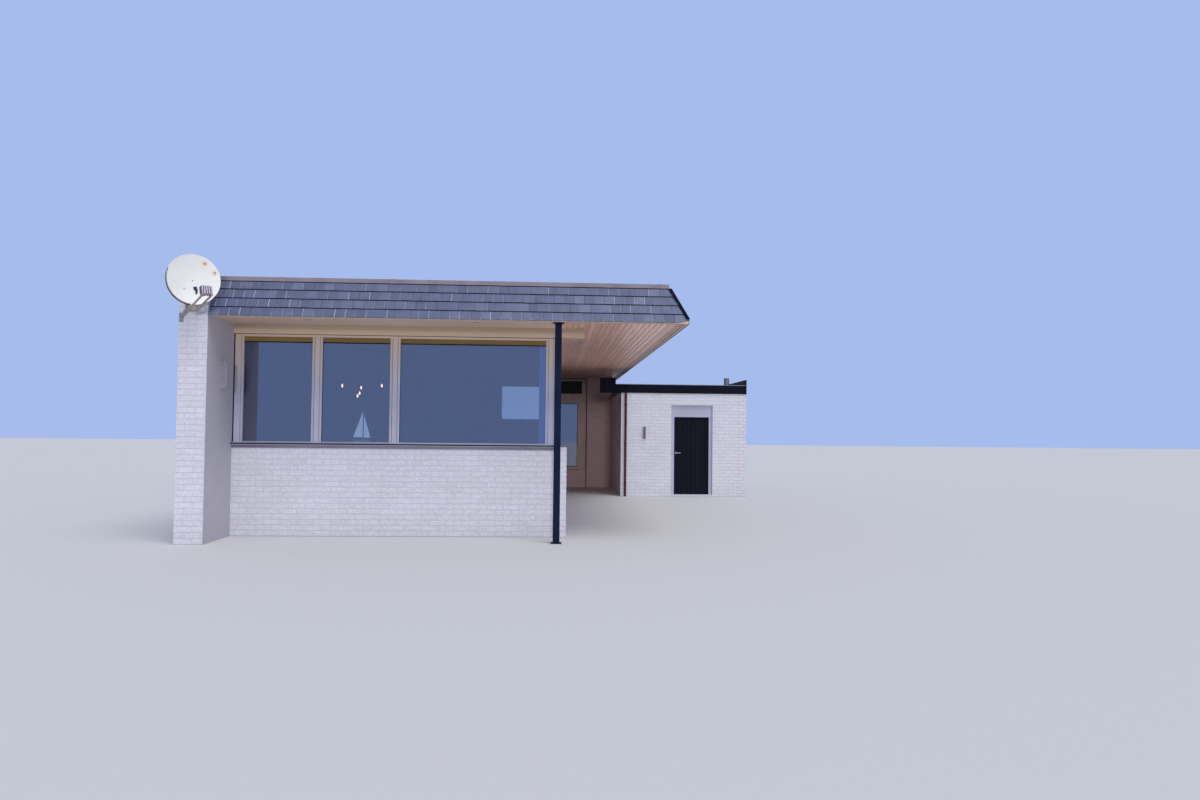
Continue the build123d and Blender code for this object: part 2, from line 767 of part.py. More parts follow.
# Clamp round the mast, spine down the reflector's back, and the twin arms to the feed
with BuildPart() as dish_bracket:
    with BuildSketch(dish_frame.offset(-spine_d)):
        rect(-spine_w / 2, spine_w / 2, arm_foot_y - arm_r, dish_offset)
    extrude(amount=spine_d + rim_depth)
    with BuildSketch(Plane((mast_x, mast_y, clamp_z), x_dir=across, z_dir=(0, 0, 1))):
        rect(-clamp_w / 2, clamp_w / 2, -dish_standoff, mast_r * 2)
    extrude(amount=clamp_h)
    add(bowl_front.part, mode=Mode.SUBTRACT)
    with BuildSketch(Plane.XY.offset(clamp_z)):
        with Locations((mast_x, mast_y)):
            Circle(mast_r + seat_gap)
    extrude(amount=clamp_h, mode=Mode.SUBTRACT)
    for side in (-1, 1):
        foot = dish_frame.from_local_coords(Vector(side * arm_foot_gap / 2, arm_foot_y, -spine_d / 2))
        head = dish_frame.from_local_coords(Vector(side * arm_head_gap / 2, arm_head_y, dish_focus + lnb_d))
        with BuildSketch(Plane(foot, z_dir=head - foot)):
            Circle(arm_r)
        extrude(amount=(head - foot).length)
    with BuildSketch(dish_frame.offset(-spine_d / 2 - arm_r)):
        rect(-arm_foot_gap / 2 - arm_r, arm_foot_gap / 2 + arm_r, arm_foot_y - arm_r, arm_foot_y + arm_r)
    extrude(amount=arm_r * 2)

strut_foot = Vector(x_party_out + strut_in, y_pier, strut_z)
strut_head = Vector(mast_x, mast_y, mast_low + mast_r)
strut = strut_foot - strut_head

with BuildPart() as dish_mast:
    with BuildSketch(Plane.XY.offset(mast_low)):
        with Locations((mast_x, mast_y)):
            Circle(mast_r)
    extrude(amount=mast_h)
    with BuildSketch(Plane(strut_head, z_dir=strut)):
        Circle(mast_r)
    extrude(amount=strut.length + mast_r * 2)
    split(bisect_by=at_y(y_pier), keep=Keep.TOP)
    with BuildSketch(at_y(y_pier)):
        rect(strut_foot.X - foot_w / 2, strut_foot.X + foot_w / 2,
             strut_z - foot_h / 2, strut_z + foot_h / 2)
    extrude(amount=foot_t)

pieces = {
    "living_floor": living_floor,
    "hall_floor": hall_floor,
    "annex_floor": annex_floor,
    "party_wall": party_wall,
    "party_wall_cap": party_wall_cap,
    "front_wall": front_wall,
    "window_header": window_header,
    "side_wall": side_wall,
    "rear_wall": rear_wall,
    "hall_wall": hall_wall,
    "end_wall": end_wall,
    "door_plinths": door_plinths,
    "door_lintels": door_lintels,
    "front_window_frame": front_window_frame,
    "blind_boxes": blind_boxes,
    "window_sills": window_sills,
    "plain_window_frames": plain_window_frames,
    "window_glass": window_glass,
    "roof_deck": roof_deck,
    "soffit_boards": soffit_boards,
    "front_slope": front_slope,
    "right_slope": right_slope,
    "rear_slope": rear_slope,
    "roof_coping": roof_coping,
    "eaves_trim": eaves_trim,
    "terrace_column": terrace_column,
    "annex_left_wall": annex_left_wall,
    "annex_party_wall": annex_party_wall,
    "annex_rear_wall": annex_rear_wall,
    "annex_front_wall": annex_front_wall,
    "annex_roof": annex_roof,
    "annex_canopy": annex_canopy,
    "annex_fascia": annex_fascia,
    "annex_upstand": annex_upstand,
    "annex_drip": annex_drip,
    "terrace_door_frame": terrace_door_frame,
    "terrace_door_leaf": terrace_door_leaf,
    "terrace_door_glass": terrace_door_glass,
    "terrace_door_fittings": terrace_door_fittings,
    "annex_door_frame": annex_door_frame,
    "annex_door_leaf": annex_door_leaf,
    "annex_door_fittings": annex_door_fittings,
    "door_hinges": door_hinges,
    "wall_lamps": wall_lamps,
    "downlights": downlights,
    "downpipe": downpipe,
    "roof_vent": roof_vent,
    "dish_reflector": dish_reflector,
    "dish_feed": dish_feed,
    "dish_bracket": dish_bracket,
    "dish_mast": dish_mast,
}

for name, piece in pieces.items():
    piece.part.label = name
    export_step(piece.part, f"parts/{name}.step")
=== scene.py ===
# %% [markdown]
# # A beach house, dressed from its solid model
# The solid model holds the walls, roof, doors and dish at their true size. This lesson gives
# them what the front shows: brick faces, slates, soffit boards, paint, rust and glass.
# Every length is in metres, +X to the right, +Y to the back, +Z up, with the origin on the
# ground under the middle of the living room.

import math
import random
from functools import partial

import bpy
from mathutils import Matrix, Vector


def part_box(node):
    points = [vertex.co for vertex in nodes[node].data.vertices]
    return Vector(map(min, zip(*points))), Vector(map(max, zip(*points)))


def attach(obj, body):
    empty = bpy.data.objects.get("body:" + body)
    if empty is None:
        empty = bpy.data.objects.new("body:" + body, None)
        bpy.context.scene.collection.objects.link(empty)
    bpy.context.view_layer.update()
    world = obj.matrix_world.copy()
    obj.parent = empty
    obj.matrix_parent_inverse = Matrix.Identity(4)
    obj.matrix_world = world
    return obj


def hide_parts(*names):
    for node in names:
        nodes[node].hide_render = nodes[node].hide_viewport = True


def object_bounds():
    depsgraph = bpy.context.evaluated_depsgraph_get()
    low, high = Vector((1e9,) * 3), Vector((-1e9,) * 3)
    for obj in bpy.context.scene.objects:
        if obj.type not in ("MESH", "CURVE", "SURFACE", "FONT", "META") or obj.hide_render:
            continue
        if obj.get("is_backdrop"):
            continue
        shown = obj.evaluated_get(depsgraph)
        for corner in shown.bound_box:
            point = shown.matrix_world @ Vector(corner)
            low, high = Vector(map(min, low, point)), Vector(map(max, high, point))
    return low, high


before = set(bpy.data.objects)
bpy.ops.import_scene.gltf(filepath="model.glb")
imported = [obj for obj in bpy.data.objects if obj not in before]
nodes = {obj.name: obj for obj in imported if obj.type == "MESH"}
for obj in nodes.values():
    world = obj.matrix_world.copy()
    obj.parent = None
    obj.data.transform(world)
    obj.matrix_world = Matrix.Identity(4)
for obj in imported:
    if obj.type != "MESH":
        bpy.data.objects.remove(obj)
cad_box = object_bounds()
scene = bpy.context.scene
print("solid pieces:", len(nodes), "in a box of", [round(b - a, 2) for a, b in zip(*cad_box)])

# %% [markdown]
# ## Where the camera stands
# The camera stands about 13 m in front of the slates, at eye height. The receding edges of
# the house meet left of the middle of the picture, so the camera looks a little to the right
# of the house's own direction, slightly up, and is tipped by half a degree. A focal length of
# 27 mm on a 36 mm sensor gives the spread of view that the photograph has.

# %% Camera
EYE = (2.529, -21.26, 1.66)
YAW, PITCH, ROLL = math.radians(3.05), math.radians(1.91), math.radians(0.6)

camera = bpy.data.objects.new("front_camera", bpy.data.cameras.new("front_camera"))
camera.data.lens = 27
camera.data.sensor_width = 36
camera.location = EYE
turn = Matrix.Rotation(-YAW, 4, "Z") @ Matrix.Rotation(math.pi / 2 + PITCH, 4, "X")
turn = turn @ Matrix.Rotation(ROLL, 4, "Z")
camera.rotation_euler = turn.to_euler()
scene.collection.objects.link(camera)
scene.camera = camera
print("camera looks along", [round(c, 3) for c in -(turn @ Vector((0, 0, 1, 0))).xyz])

# %% [markdown]
# ## Colours and nodes
# Paint and stone are written as the hex codes that a colour picker gives. A picker's numbers
# are sRGB, and a shader wants linear light, so one function turns one into the other. A
# second function adds a node with its settings and links, so that a material below reads
# like a list of what happens to its surface. Inputs given in order suit the plain sums: a
# range takes its value, from low, from high, to low and to high.

# %% Small helpers
def linear(code):
    """An sRGB hex code as a linear colour with full alpha."""
    shares = [int(code[i:i + 2], 16) / 255 for i in (1, 3, 5)]
    return [c / 12.92 if c <= 0.04045 else ((c + 0.055) / 1.055) ** 2.4 for c in shares] + [1.0]


def feed(node, inputs):
    """Fill inputs, by name or in order, with values, hex codes, sockets or nodes' first outputs."""
    for key, value in inputs.items() if isinstance(inputs, dict) else enumerate(inputs):
        if isinstance(value, bpy.types.Node):
            value = next(output for output in value.outputs if output.enabled)
        if isinstance(value, bpy.types.NodeSocket):
            node.id_data.links.new(value, node.inputs[key])
        else:
            node.inputs[key].default_value = linear(value) if isinstance(value, str) else value


def add(tree, kind, inputs=(), **settings):
    """A new node with its settings and links."""
    node = tree.nodes.new("ShaderNode" + kind)
    for name, value in settings.items():
        setattr(node, name, value)
    feed(node, inputs)
    return node


def finish_of(name, inputs):
    """A material, its own adder of nodes, its shader, the place in metres and each face's tone."""
    material = bpy.data.materials.new(name)
    material.use_nodes = True
    material.node_tree.nodes.clear()
    new = partial(add, material.node_tree)
    shader = new("BsdfPrincipled", inputs)
    new("OutputMaterial", [shader])
    tone = new("Attribute", attribute_name="tone").outputs["Fac"]
    return material, new, shader, new("TexCoord").outputs["Object"], tone


def surface(new, shader, colour, shade, relief, depth_mm, strength):
    """Put a colour times a shade on a shader, with a relief of that depth."""
    feed(shader, {
        "Base Color": new("VectorMath", {0: colour, "Scale": shade}, operation="SCALE"),
        "Normal": new("Bump", {"Height": relief, "Distance": depth_mm / 1000, "Strength": strength})})


print("white paint is", [round(c, 3) for c in linear("#EDECE8")])

# %% [markdown]
# ## Masonry paint on brick
# The walls are brick under several coats of white masonry paint. The paint is matt, rounds
# off the arrises and fills the pores, so the eye gets broad soft courses and not single
# bricks. Rain leaves grey runs below every edge, and the foot of a wall takes splashes. A tone
# on each brick, broad blotches, tall runs and a fine grain give that.

# %% Masonry paint
# Rough brick faces are pitted every 10 to 30 mm: light catches their high points and the pits
# hold shade. That is painted as lighter and darker specks, drawn at 42 mm to show.
SPECK_MM = 42


def masonry_paint(name, clean, grimy, grain_mm, depth_mm, speckle=0.01):
    material, new, shader, place, tone = finish_of(name, {"Roughness": 0.82})
    blotch = new("TexNoise", {"Vector": place, "Scale": 1.7, "Detail": 5.0, "Roughness": 0.6})
    tall = new("Mapping", {"Vector": place, "Scale": (7.0, 7.0, 0.45)})
    runs = new("TexNoise", {"Vector": tall, "Scale": 1.0, "Detail": 6.0, "Roughness": 0.62})
    run_mask = new("MapRange", [runs, 0.60, 0.85, 0.0, 0.30])
    height = new("SeparateXYZ", [place]).outputs["Z"]
    splash = new("MapRange", [height, 0.40, 0.02, 0.0, 0.45])
    splash_broken = new("Math", [splash, blotch], operation="MULTIPLY")
    dirt = new("Math", [run_mask, splash_broken], operation="ADD", use_clamp=True)
    tint = new("MapRange", [tone, -0.5, 0.5, 0.965, 1.03])
    mild = new("MapRange", [blotch, 0.3, 0.7, 0.955, 1.02])
    # Painted highlight and shade: specks a little lighter and darker than the paint
    speck_noise = new("TexNoise", {"Vector": place, "Scale": 1000 / SPECK_MM, "Detail": 2.0})
    painted_speck_light = new("MapRange", [speck_noise, 0.35, 0.65, 1 - speckle, 1 + speckle])
    shade = new("Math", [tint, mild], operation="MULTIPLY")
    shade = new("Math", [shade, painted_speck_light], operation="MULTIPLY")
    paint = new("Mix", {"Factor": dirt, "A": clean, "B": grimy}, data_type="RGBA")
    grain = new("TexNoise", {"Vector": place, "Scale": 1000 / grain_mm, "Detail": 3.0})
    surface(new, shader, paint, shade, grain, depth_mm, 0.6)
    return material


# The roller's stipple is about 3 mm across. It is drawn 10 to 22 mm coarse to show in a view.
brick_paint = masonry_paint("masonry_paint_on_brick", "#D5D5E0", "#B0B0BA", 22, 3.6, speckle=0.07)
joint_paint = masonry_paint("masonry_paint_in_joints", "#CCCCD9", "#A6A6B1", 10, 1.2)
render_paint = masonry_paint("masonry_paint_on_render", "#C4C1CC", "#A6A3AE", 22, 1.0)
cream_wall = masonry_paint("cream_paint_on_header", "#C2AE98", "#AE9A85", 22, 0.8)
dim_paint = masonry_paint("blue_grey_paint_on_inner_wall", "#6C88B8", "#607CAA", 22, 0.6)
brown_brick = masonry_paint("brown_paint_on_brick", "#A68E92", "#8C7679", 14, 1.5)
brown_joints = masonry_paint("brown_paint_in_joints", "#A48C90", "#8A7477", 10, 1.2)
# Painted light: the side wall's brown is much lighter than the end wall's, for the deep corner
brown_side_painted_light = masonry_paint("brown_paint_lightened_as_painted_light", "#E4CACA", "#C4ADAD", 14, 1.5)
# Painted shade: the annex's white return is painted a darker, warmer grey
return_painted_shade = masonry_paint("white_return_paint_darkened_as_painted_shade", "#BFADB0", "#A39396", 14, 1.5)
print("wall paints:", len(bpy.data.materials))

# %% [markdown]
# ## Slates, cut from fibre cement
# The eaves are hung with blue-grey slates. A slate is pressed with a riven face and its cut
# edges are paler than its face, so each upright joint shows as a light tick. No two slates
# weather alike, so each one gets its own tone, from blue-grey to near lilac.

# %% Slate faces and their cut edges
# Riven grain is 5 to 10 mm wide and runs down the slate. It is drawn at 16 mm.
RIVEN_PER_M = 62.0


def slate_finish(name, dark, middle, light, rough):
    material, new, shader, place, tone = finish_of(name, {"Roughness": rough})
    ramp = new("ValToRGB", [new("Math", [tone, 0.5], operation="ADD")])
    ramp.color_ramp.elements[0].color = linear(dark)
    ramp.color_ramp.elements[1].color = linear(light)
    ramp.color_ramp.elements.new(0.55).color = linear(middle)
    riven = new("Mapping", {"Vector": place, "Scale": (1.0, 1.0, 0.35)})
    grain = new("TexNoise", {"Vector": riven, "Scale": RIVEN_PER_M, "Detail": 7.0, "Roughness": 0.65})
    bloom = new("TexNoise", {"Vector": place, "Scale": 7.0, "Detail": 3.0})
    both = new("Math", [grain, bloom], operation="ADD")
    surface(new, shader, ramp, new("MapRange", [both, 0.7, 1.3, 0.84, 1.14]), grain, 3, 0.7)
    return material


slate_face = slate_finish("riven_fibre_slate", "#4E5671", "#5B637F", "#6F7794", 0.55)
slate_edge = slate_finish("cut_slate_edge", "#626A87", "#8E96B2", "#C6CADC", 0.75)
# Painted shade: near black for the slates' tails, sides and laps, and for the bed seen in their gaps
tail_shade_finish = slate_finish("painted_shade_on_slate_tails", "#12152A", "#161A30", "#1E2238", 0.8)
bed_shade_finish = slate_finish("painted_shade_on_bed_under_slates", "#23283A", "#2A3044", "#343A4E", 0.8)
print("slate finishes:", slate_face.name, slate_edge.name, tail_shade_finish.name)

# %% [markdown]
# ## The other finishes
# Each of these starts from the real stuff: folded sheet metal dulls and spots, satin paint
# keeps a low shine, varnished boards show their growth rings, zinc goes cloudy. The
# differences are carried by colour noise, roughness noise and a small bump.

# %% One worn finish with its own numbers
def worn(name, base, other, roughness, patch_m, grain_m, depth_mm, metallic=0.0,
         stretch=(1, 1, 1), turn_with_height=None, **more):
    """Two colours in patches and a fine grain, and, if given as (colour, from, to), a colour it turns to
    between two heights.
    """
    material, new, shader, place, tone = finish_of(name, {"Metallic": metallic, **more})
    along = new("Mapping", {"Vector": place, "Scale": stretch})
    patches = new("TexNoise", {"Vector": along, "Scale": 1 / patch_m, "Detail": 6.0, "Roughness": 0.6})
    grain = new("TexNoise", {"Vector": along, "Scale": 1 / grain_m, "Detail": 4.0})
    share = new("MapRange", [patches, 0.38, 0.66])
    colour = new("Mix", {"Factor": share, "A": base, "B": other}, data_type="RGBA")
    if turn_with_height:
        height = new("SeparateXYZ", [place]).outputs["Z"]
        height_share = new("MapRange", [height, *turn_with_height[1:]])
        colour = new("Mix", {"Factor": height_share, "A": colour, "B": turn_with_height[0]}, data_type="RGBA")
    dull = new("MapRange", [grain, 0.3, 0.7, roughness * 0.85, min(1.0, roughness * 1.15)])
    feed(shader, {"Roughness": dull})
    surface(new, shader, colour, new("MapRange", [tone, -0.5, 0.5, 0.92, 1.08]), grain, depth_mm, 0.5)
    return material


DULL = {"Specular IOR Level": 0.14}
DULLER = {"Specular IOR Level": 0.1}
GRAIN_UP, GRAIN_ACROSS = (1, 1, 0.15), (0.3, 1, 1)
coping_sheet = worn("folded_sheet_coping", "#837981", "#948A93", 0.5, 0.5, 0.02, 0.6)
navy_paint = worn("satin_navy_paint_on_steel", "#0F1830", "#151F38", 0.4, 0.4, 0.012, 0.3, **DULL)
# Painted shade: the hip sheet is painted darker than the column's navy, against the light on its upward
# faces
hip_sheet_with_shade = worn("navy_hip_sheet_darkened_as_painted_shade", "#050A1C", "#0A1024", 0.7, 0.4, 0.012, 0.3, **DULLER)
black_board_and_shade = worn("black_stained_board_and_painted_shade", "#0A0A17", "#10101E", 0.6, 0.3, 0.02, 0.8,
                   stretch=(0.2, 1, 3), **DULL)
mill_sheet = worn("weathered_aluminium_sheet", "#A9AAAC", "#8F9194", 0.42, 0.2, 0.01, 0.3, metallic=0.9)
# White frame paint: its blue-grey tint is partly painted sky light, and its turn to cream towards the soffit
# is painted warm light from the soffit boards
frame_paint = worn("white_frame_paint_with_painted_light", "#B6B8CD", "#AAACC1", 0.32, 0.6, 0.03, 0.3,
                   turn_with_height=("#C4B0A0", 2.2, 3.1))
lead_grey = worn("weathered_grey_flashing", "#8C8798", "#7A7586", 0.6, 0.3, 0.01, 0.4, stretch=GRAIN_ACROSS)
# Black for the gaskets, and for painted shadow in the windows' joints
gasket_and_shadow_black = worn("black_gasket_and_painted_shadow", "#1B1D24", "#262830", 0.7, 0.1, 0.01, 0.2, **DULL)
# Partly painted reflection: the olive band at the head of each front light stands partly for the soffit
# mirrored in the glass
blind_band_with_reflection = worn("olive_cassette_and_painted_soffit_reflection", "#7C6536", "#6B562D", 0.55, 0.4, 0.01, 0.3, stretch=(0.3, 1, 4))
roof_felt = worn("mineral_roof_felt", "#74767A", "#66686C", 0.9, 1.6, 0.006, 1.5)
screed = worn("grey_cement_screed", "#8E8C88", "#7C7A76", 0.75, 0.9, 0.02, 0.8)
# Brown stain for the door's beads, and painted shadow for the strip round its frame
brown_stain_and_shadow = worn("brown_stain_and_painted_shadow", "#3A2C2C", "#2E2322", 0.5, 0.25, 0.012, 0.6, stretch=GRAIN_UP)
bar_paint = worn("taupe_painted_frame", "#A38D8A", "#927D7A", 0.45, 0.3, 0.02, 0.3, stretch=(1, 1, 0.3))
# Painted reflection: the transom over the terrace door is a near-black panel for the shaded soffit it
# mirrors
transom_painted_reflection = worn("dark_panel_painted_reflection_of_soffit", "#0E0A0D", "#140F12", 0.25, 0.3, 0.02, 0.1, **DULL)
dark_leaf = worn("near_black_door_paint", "#0C0D18", "#12131F", 0.5, 0.3, 0.015, 0.5,
                 stretch=GRAIN_UP, **DULL)
satin_steel = worn("brushed_stainless_steel", "#C9C9C8", "#B9B9B8", 0.3, 0.05, 0.002, 0.1, metallic=1.0)
lamp_coat = worn("grey_powder_coat", "#9A98A8", "#8E8C9C", 0.45, 0.1, 0.004, 0.2)
# Painted shade: the annex's lamp is the same lamp in a darker copy of its coat
lamp_coat_painted_shade = worn("grey_powder_coat_darkened_as_painted_shade", "#6C6A78", "#62606E", 0.5, 0.1, 0.004, 0.2)
pipe_paint = worn("red_brown_paint_on_zinc_pipe", "#4A2228", "#381A1F", 0.42, 0.15, 0.01, 0.3,
                  stretch=(1, 1, 0.3))
arm_coat = worn("weathered_grey_coat_on_steel_arm", "#A39A8E", "#82786C", 0.55, 0.03, 0.006, 0.3)
feed_shell = worn("weathered_abs_housing", "#D2CBDA", "#B8B0BF", 0.55, 0.03, 0.004, 0.2)
# Painted shade: a darker copy of the housing's plastic, for between the ribs
feed_body_painted_shade = worn("abs_housing_darkened_as_painted_shade", "#5E5868", "#524C5C", 0.6, 0.03, 0.004, 0.2)
mast_coat = worn("grey_galvanised_tube", "#908E98", "#7C7A84", 0.5, 0.05, 0.006, 0.3)
dark_blue_finish = worn("dark_blue_bent_plate", "#22364A", "#1A2A3A", 0.5, 0.02, 0.003, 0.1)
rust_and_rim_shade = worn("rust_and_painted_shade_on_rolled_edge", "#54383A", "#33252B", 0.7, 0.03, 0.004, 0.4)
# Lamp light does not pass the panes in this renderer, so what stands behind them has a faint glow
FAINT, BRIGHTER = ({"Emission Color": "#F2E6B4", "Emission Strength": strength} for strength in (0.05, 0.42))
hull_paint = worn("blue_grey_painted_hull", "#A9B9C6", "#97A8B6", 0.5, 0.2, 0.002, 0.1, **FAINT)
sail_cloth = worn("white_sail_cloth", "#F3F3F7", "#E9E9EF", 0.8, 0.2, 0.002, 0.1, **BRIGHTER)
print("finishes so far:", len(bpy.data.materials))

# %% [markdown]
# ## Soffit boards, varnished softwood
# Tongue-and-groove boards run from the slates' foot to the back. Their varnish has turned
# pinkish brown. Growth rings run along the board, so the noise is stretched hard in that
# direction.

# %% Varnished boards
# Growth rings are 2 to 5 mm apart. They are drawn at 24 mm to show.
RINGS_PER_M = 42.0
VARNISH = {"Roughness": 0.42, "Coat Weight": 0.6, "Coat Roughness": 0.3}
soffit_wood, new, shader, place, tone = finish_of("varnished_softwood_boards", VARNISH)
along = new("Mapping", {"Vector": place, "Scale": (RINGS_PER_M, 1.1, RINGS_PER_M)})
rings = new("TexNoise", {"Vector": along, "Scale": 1.0, "Detail": 6.0, "Distortion": 0.8})
ramp = new("ValToRGB", [rings])
early, late = ramp.color_ramp.elements
early.position, early.color = 0.3, linear("#E4A98F")
late.position, late.color = 0.72, linear("#FAD0B4")
surface(new, shader, ramp, new("MapRange", [tone, -0.5, 0.5, 0.86, 1.12]), rings, 0.8, 0.5)

SLOW = {"stretch": (0.3, 0.3, 1)}
# Painted shade: the edge boards' paint is darker than the boards
edge_paint_with_shade = worn("pinkish_edge_board_paint_with_painted_shade", "#C7A596", "#B89788", 0.5, 0.5, 0.03, 0.4, **SLOW)
cream_paint = worn("cream_paint_on_trim", "#E4CBB6", "#D9C0AB", 0.5, 0.5, 0.03, 0.4, **SLOW)
print("soffit:", soffit_wood.name, cream_paint.name)

# %% [markdown]
# ## Window glass, coated
# The panes are float glass with a thin metal coating against the sun, so they throw back more
# of the sky than plain glass and look blue-grey over a dim room. A clear coat with a high
# index stands for the coating, and the body of the glass is tinted.

# %% Coated glass
GLASS_IOR = 1.52
GLASS = {"Roughness": 0.0, "IOR": GLASS_IOR, "Transmission Weight": 1.0}
SUN_COATING = {"Coat Weight": 1.0, "Coat IOR": 2.0}
window_pane = finish_of("coated_float_glass", {"Base Color": "#A8C5F8", **GLASS, **SUN_COATING})[0]
clear_pane = finish_of("clear_float_glass", {"Base Color": "#EAD9B4", **GLASS})[0]
print("glass reflects", round(((GLASS_IOR - 1) / (GLASS_IOR + 1)) ** 2, 3), "before its coating")

# %% [markdown]
# ## Dish paint with rust
# The reflector is pressed steel with off-white powder coat. Two bolts have rusted and weep, and
# the lower left rim is rust brown, partly rust and partly painted shade. The rust sits at places
# measured on the dish: a soft spot round each bolt, broken up by noise, with a darker core.

# %% Rust spots on the reflector
def dish_finish(spots):
    material, new, shader, place, _ = finish_of("rusting_powder_coat", {"Roughness": 0.45})
    ragged = new("TexNoise", {"Vector": place, "Scale": 38.0, "Detail": 5.0})
    mottle = new("TexNoise", {"Vector": place, "Scale": 5.0, "Detail": 5.0, "Roughness": 0.6})
    dirt = new("MapRange", [mottle, 0.45, 0.75, 0.0, 0.35])
    layers = [(dirt, "#DFDDD6")]
    for spot, reach in spots:
        away = new("VectorMath", [place, spot], operation="DISTANCE")
        edge = new("Math", [ragged, reach, away], operation="MULTIPLY_ADD")
        halo = new("MapRange", [edge, reach * 1.55, reach * 0.7, 0.0, 0.75])
        core = new("MapRange", [edge, reach * 0.75, reach * 0.45])
        layers += [(halo, "#E2B47C"), (core, "#A1602F")]
    colour = "#F7F6F3"
    for share, over in layers:
        colour = new("Mix", {"Factor": share, "A": colour, "B": over}, data_type="RGBA")
    surface(new, shader, colour, 1.0, ragged, 0.6, 0.3)
    return material


# %% [markdown]
# ## Building many small pieces as one mesh
# A wall has thousands of bricks. Each one is a closed block of its own, but they are gathered
# into one mesh, so that Blender draws them quickly. Every block carries a tone between minus
# and plus a half, which its material reads. A solid piece has none, which reads as nought.
# A block may be given in any three directions, and its faces always turn outward.

# %% A gatherer of blocks
# Edges that are rounded off are eased by 2 mm
EASED = 0.002


class Gatherer:
    def __init__(self):
        self.points, self.faces, self.tones, self.paints = [], [], [], []

    def add_solid(self, points, faces, tone, paints):
        start = len(self.points)
        self.points += [tuple(p) for p in points]
        self.faces += [[start + k for k in face] for face in faces]
        self.tones += [tone] * len(faces)
        self.paints += paints

    def prism(self, low_ring, high_ring, tone=0.5, paint=0, side_paint=None):
        """A closed solid between two rings of as many points. Its faces are turned outward."""
        n = len(low_ring)
        points = [Vector(p) for p in low_ring] + [Vector(p) for p in high_ring]
        faces = [list(range(n))[::-1], list(range(n, 2 * n))]
        faces += [[k, (k + 1) % n, n + (k + 1) % n, n + k] for k in range(n)]
        middle = sum(points, Vector()) / (2 * n)
        top = sum(points[n:], Vector()) / n
        normal = (points[n + 1] - points[n]).cross(points[n + 2] - points[n + 1])
        if normal.dot(top - middle) < 0:
            faces = [f[::-1] for f in faces]
        side = paint if side_paint is None else side_paint
        self.add_solid(points, faces, tone, [paint, paint] + [side] * n)

    def push(self, ring, shift, tone=0.5, paint=0):
        """A prism from a ring pushed along a line."""
        self.prism(ring, [Vector(p) + Vector(shift) for p in ring], tone, paint)

    def box(self, low, high, tone=0.5, paint=0):
        (a, b, c), (d, e, f) = low, high
        corners = ((a, b), (d, b), (d, e), (a, e))
        self.prism([(x, y, c) for x, y in corners], [(x, y, f) for x, y in corners], tone, paint)

    def sweep(self, rings, paint=0, closed=False):
        """A solid through rings, each anticlockwise as seen from ahead, with end caps unless closed."""
        n, count = len(rings[0]), len(rings)
        faces = []
        for i in range(count if closed else count - 1):
            here, ahead = i * n, (i + 1) % count * n
            faces += [[here + k, here + (k + 1) % n, ahead + (k + 1) % n, ahead + k] for k in range(n)]
        if not closed:
            faces += [list(range(n))[::-1], list(range((count - 1) * n, count * n))]
        self.add_solid([p for ring in rings for p in ring], faces, 0.5, [paint] * len(faces))

    def make(self, name, slot, *paints, body="house", bevel=0.0):
        mesh = bpy.data.meshes.new(name)
        mesh.from_pydata(self.points, [], self.faces)
        for paint in paints:
            mesh.materials.append(paint)
        mesh.polygons.foreach_set("material_index", self.paints)
        mesh.attributes.new("tone", "FLOAT", "FACE").data.foreach_set("value", [t - 0.5 for t in self.tones])
        mesh.update()
        piece = bpy.data.objects.new(name, mesh)
        scene.collection.objects.link(piece)
        if bevel:
            edge = piece.modifiers.new("bevel", "BEVEL")
            edge.width, edge.segments, edge.limit_method = bevel, 2, "ANGLE"
        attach(piece, body)
        print(name, "has", len(self.faces), "faces")
        return piece


def paint_nodes(names, *paints, choose=None):
    """Give solid pieces their finishes. choose(middle, normal) gives the finish's number for a face."""
    for name in names.split():
        mesh = nodes[name].data
        mesh.materials.clear()
        for paint in paints:
            mesh.materials.append(paint)
        if choose:
            chosen = [int(choose(face.center, face.normal)) for face in mesh.polygons]
            mesh.polygons.foreach_set("material_index", chosen)


# %% [markdown]
# ## Brick faces
# A standard brick is 240 by 71 mm, and with its joints it takes 250 by 83.3 mm, twelve courses
# to the metre. Each course starts half a brick along from the one below. The solid wall stands
# for the joints, and each brick face stands about 4 mm proud of it with a sloped, paint-softened
# arris. Courses are cut short at the doors and windows, as a bricklayer cuts them.

# %% Lay the courses
BRICK, JOINT, COURSE = 0.240, 0.010, 1 / 12
BED = COURSE - 0.071
PROUD, SUNK, ARRIS, SAG = 0.004, 0.002, 0.005, 0.0012
LEAST_PROUD, MOST_PROUD = 0.75, 1.2
# What is lower or shorter than this is filled with mortar
LOWEST_COURSE, LOWEST_CUT, SHORTEST_CUT = 0.01, 0.012, 0.02
chance = random.Random(7)
RIGHT, BACK, UP = Vector((1, 0, 0)), Vector((0, 1, 0)), Vector((0, 0, 1))
LEFT, FRONT = -RIGHT, -BACK


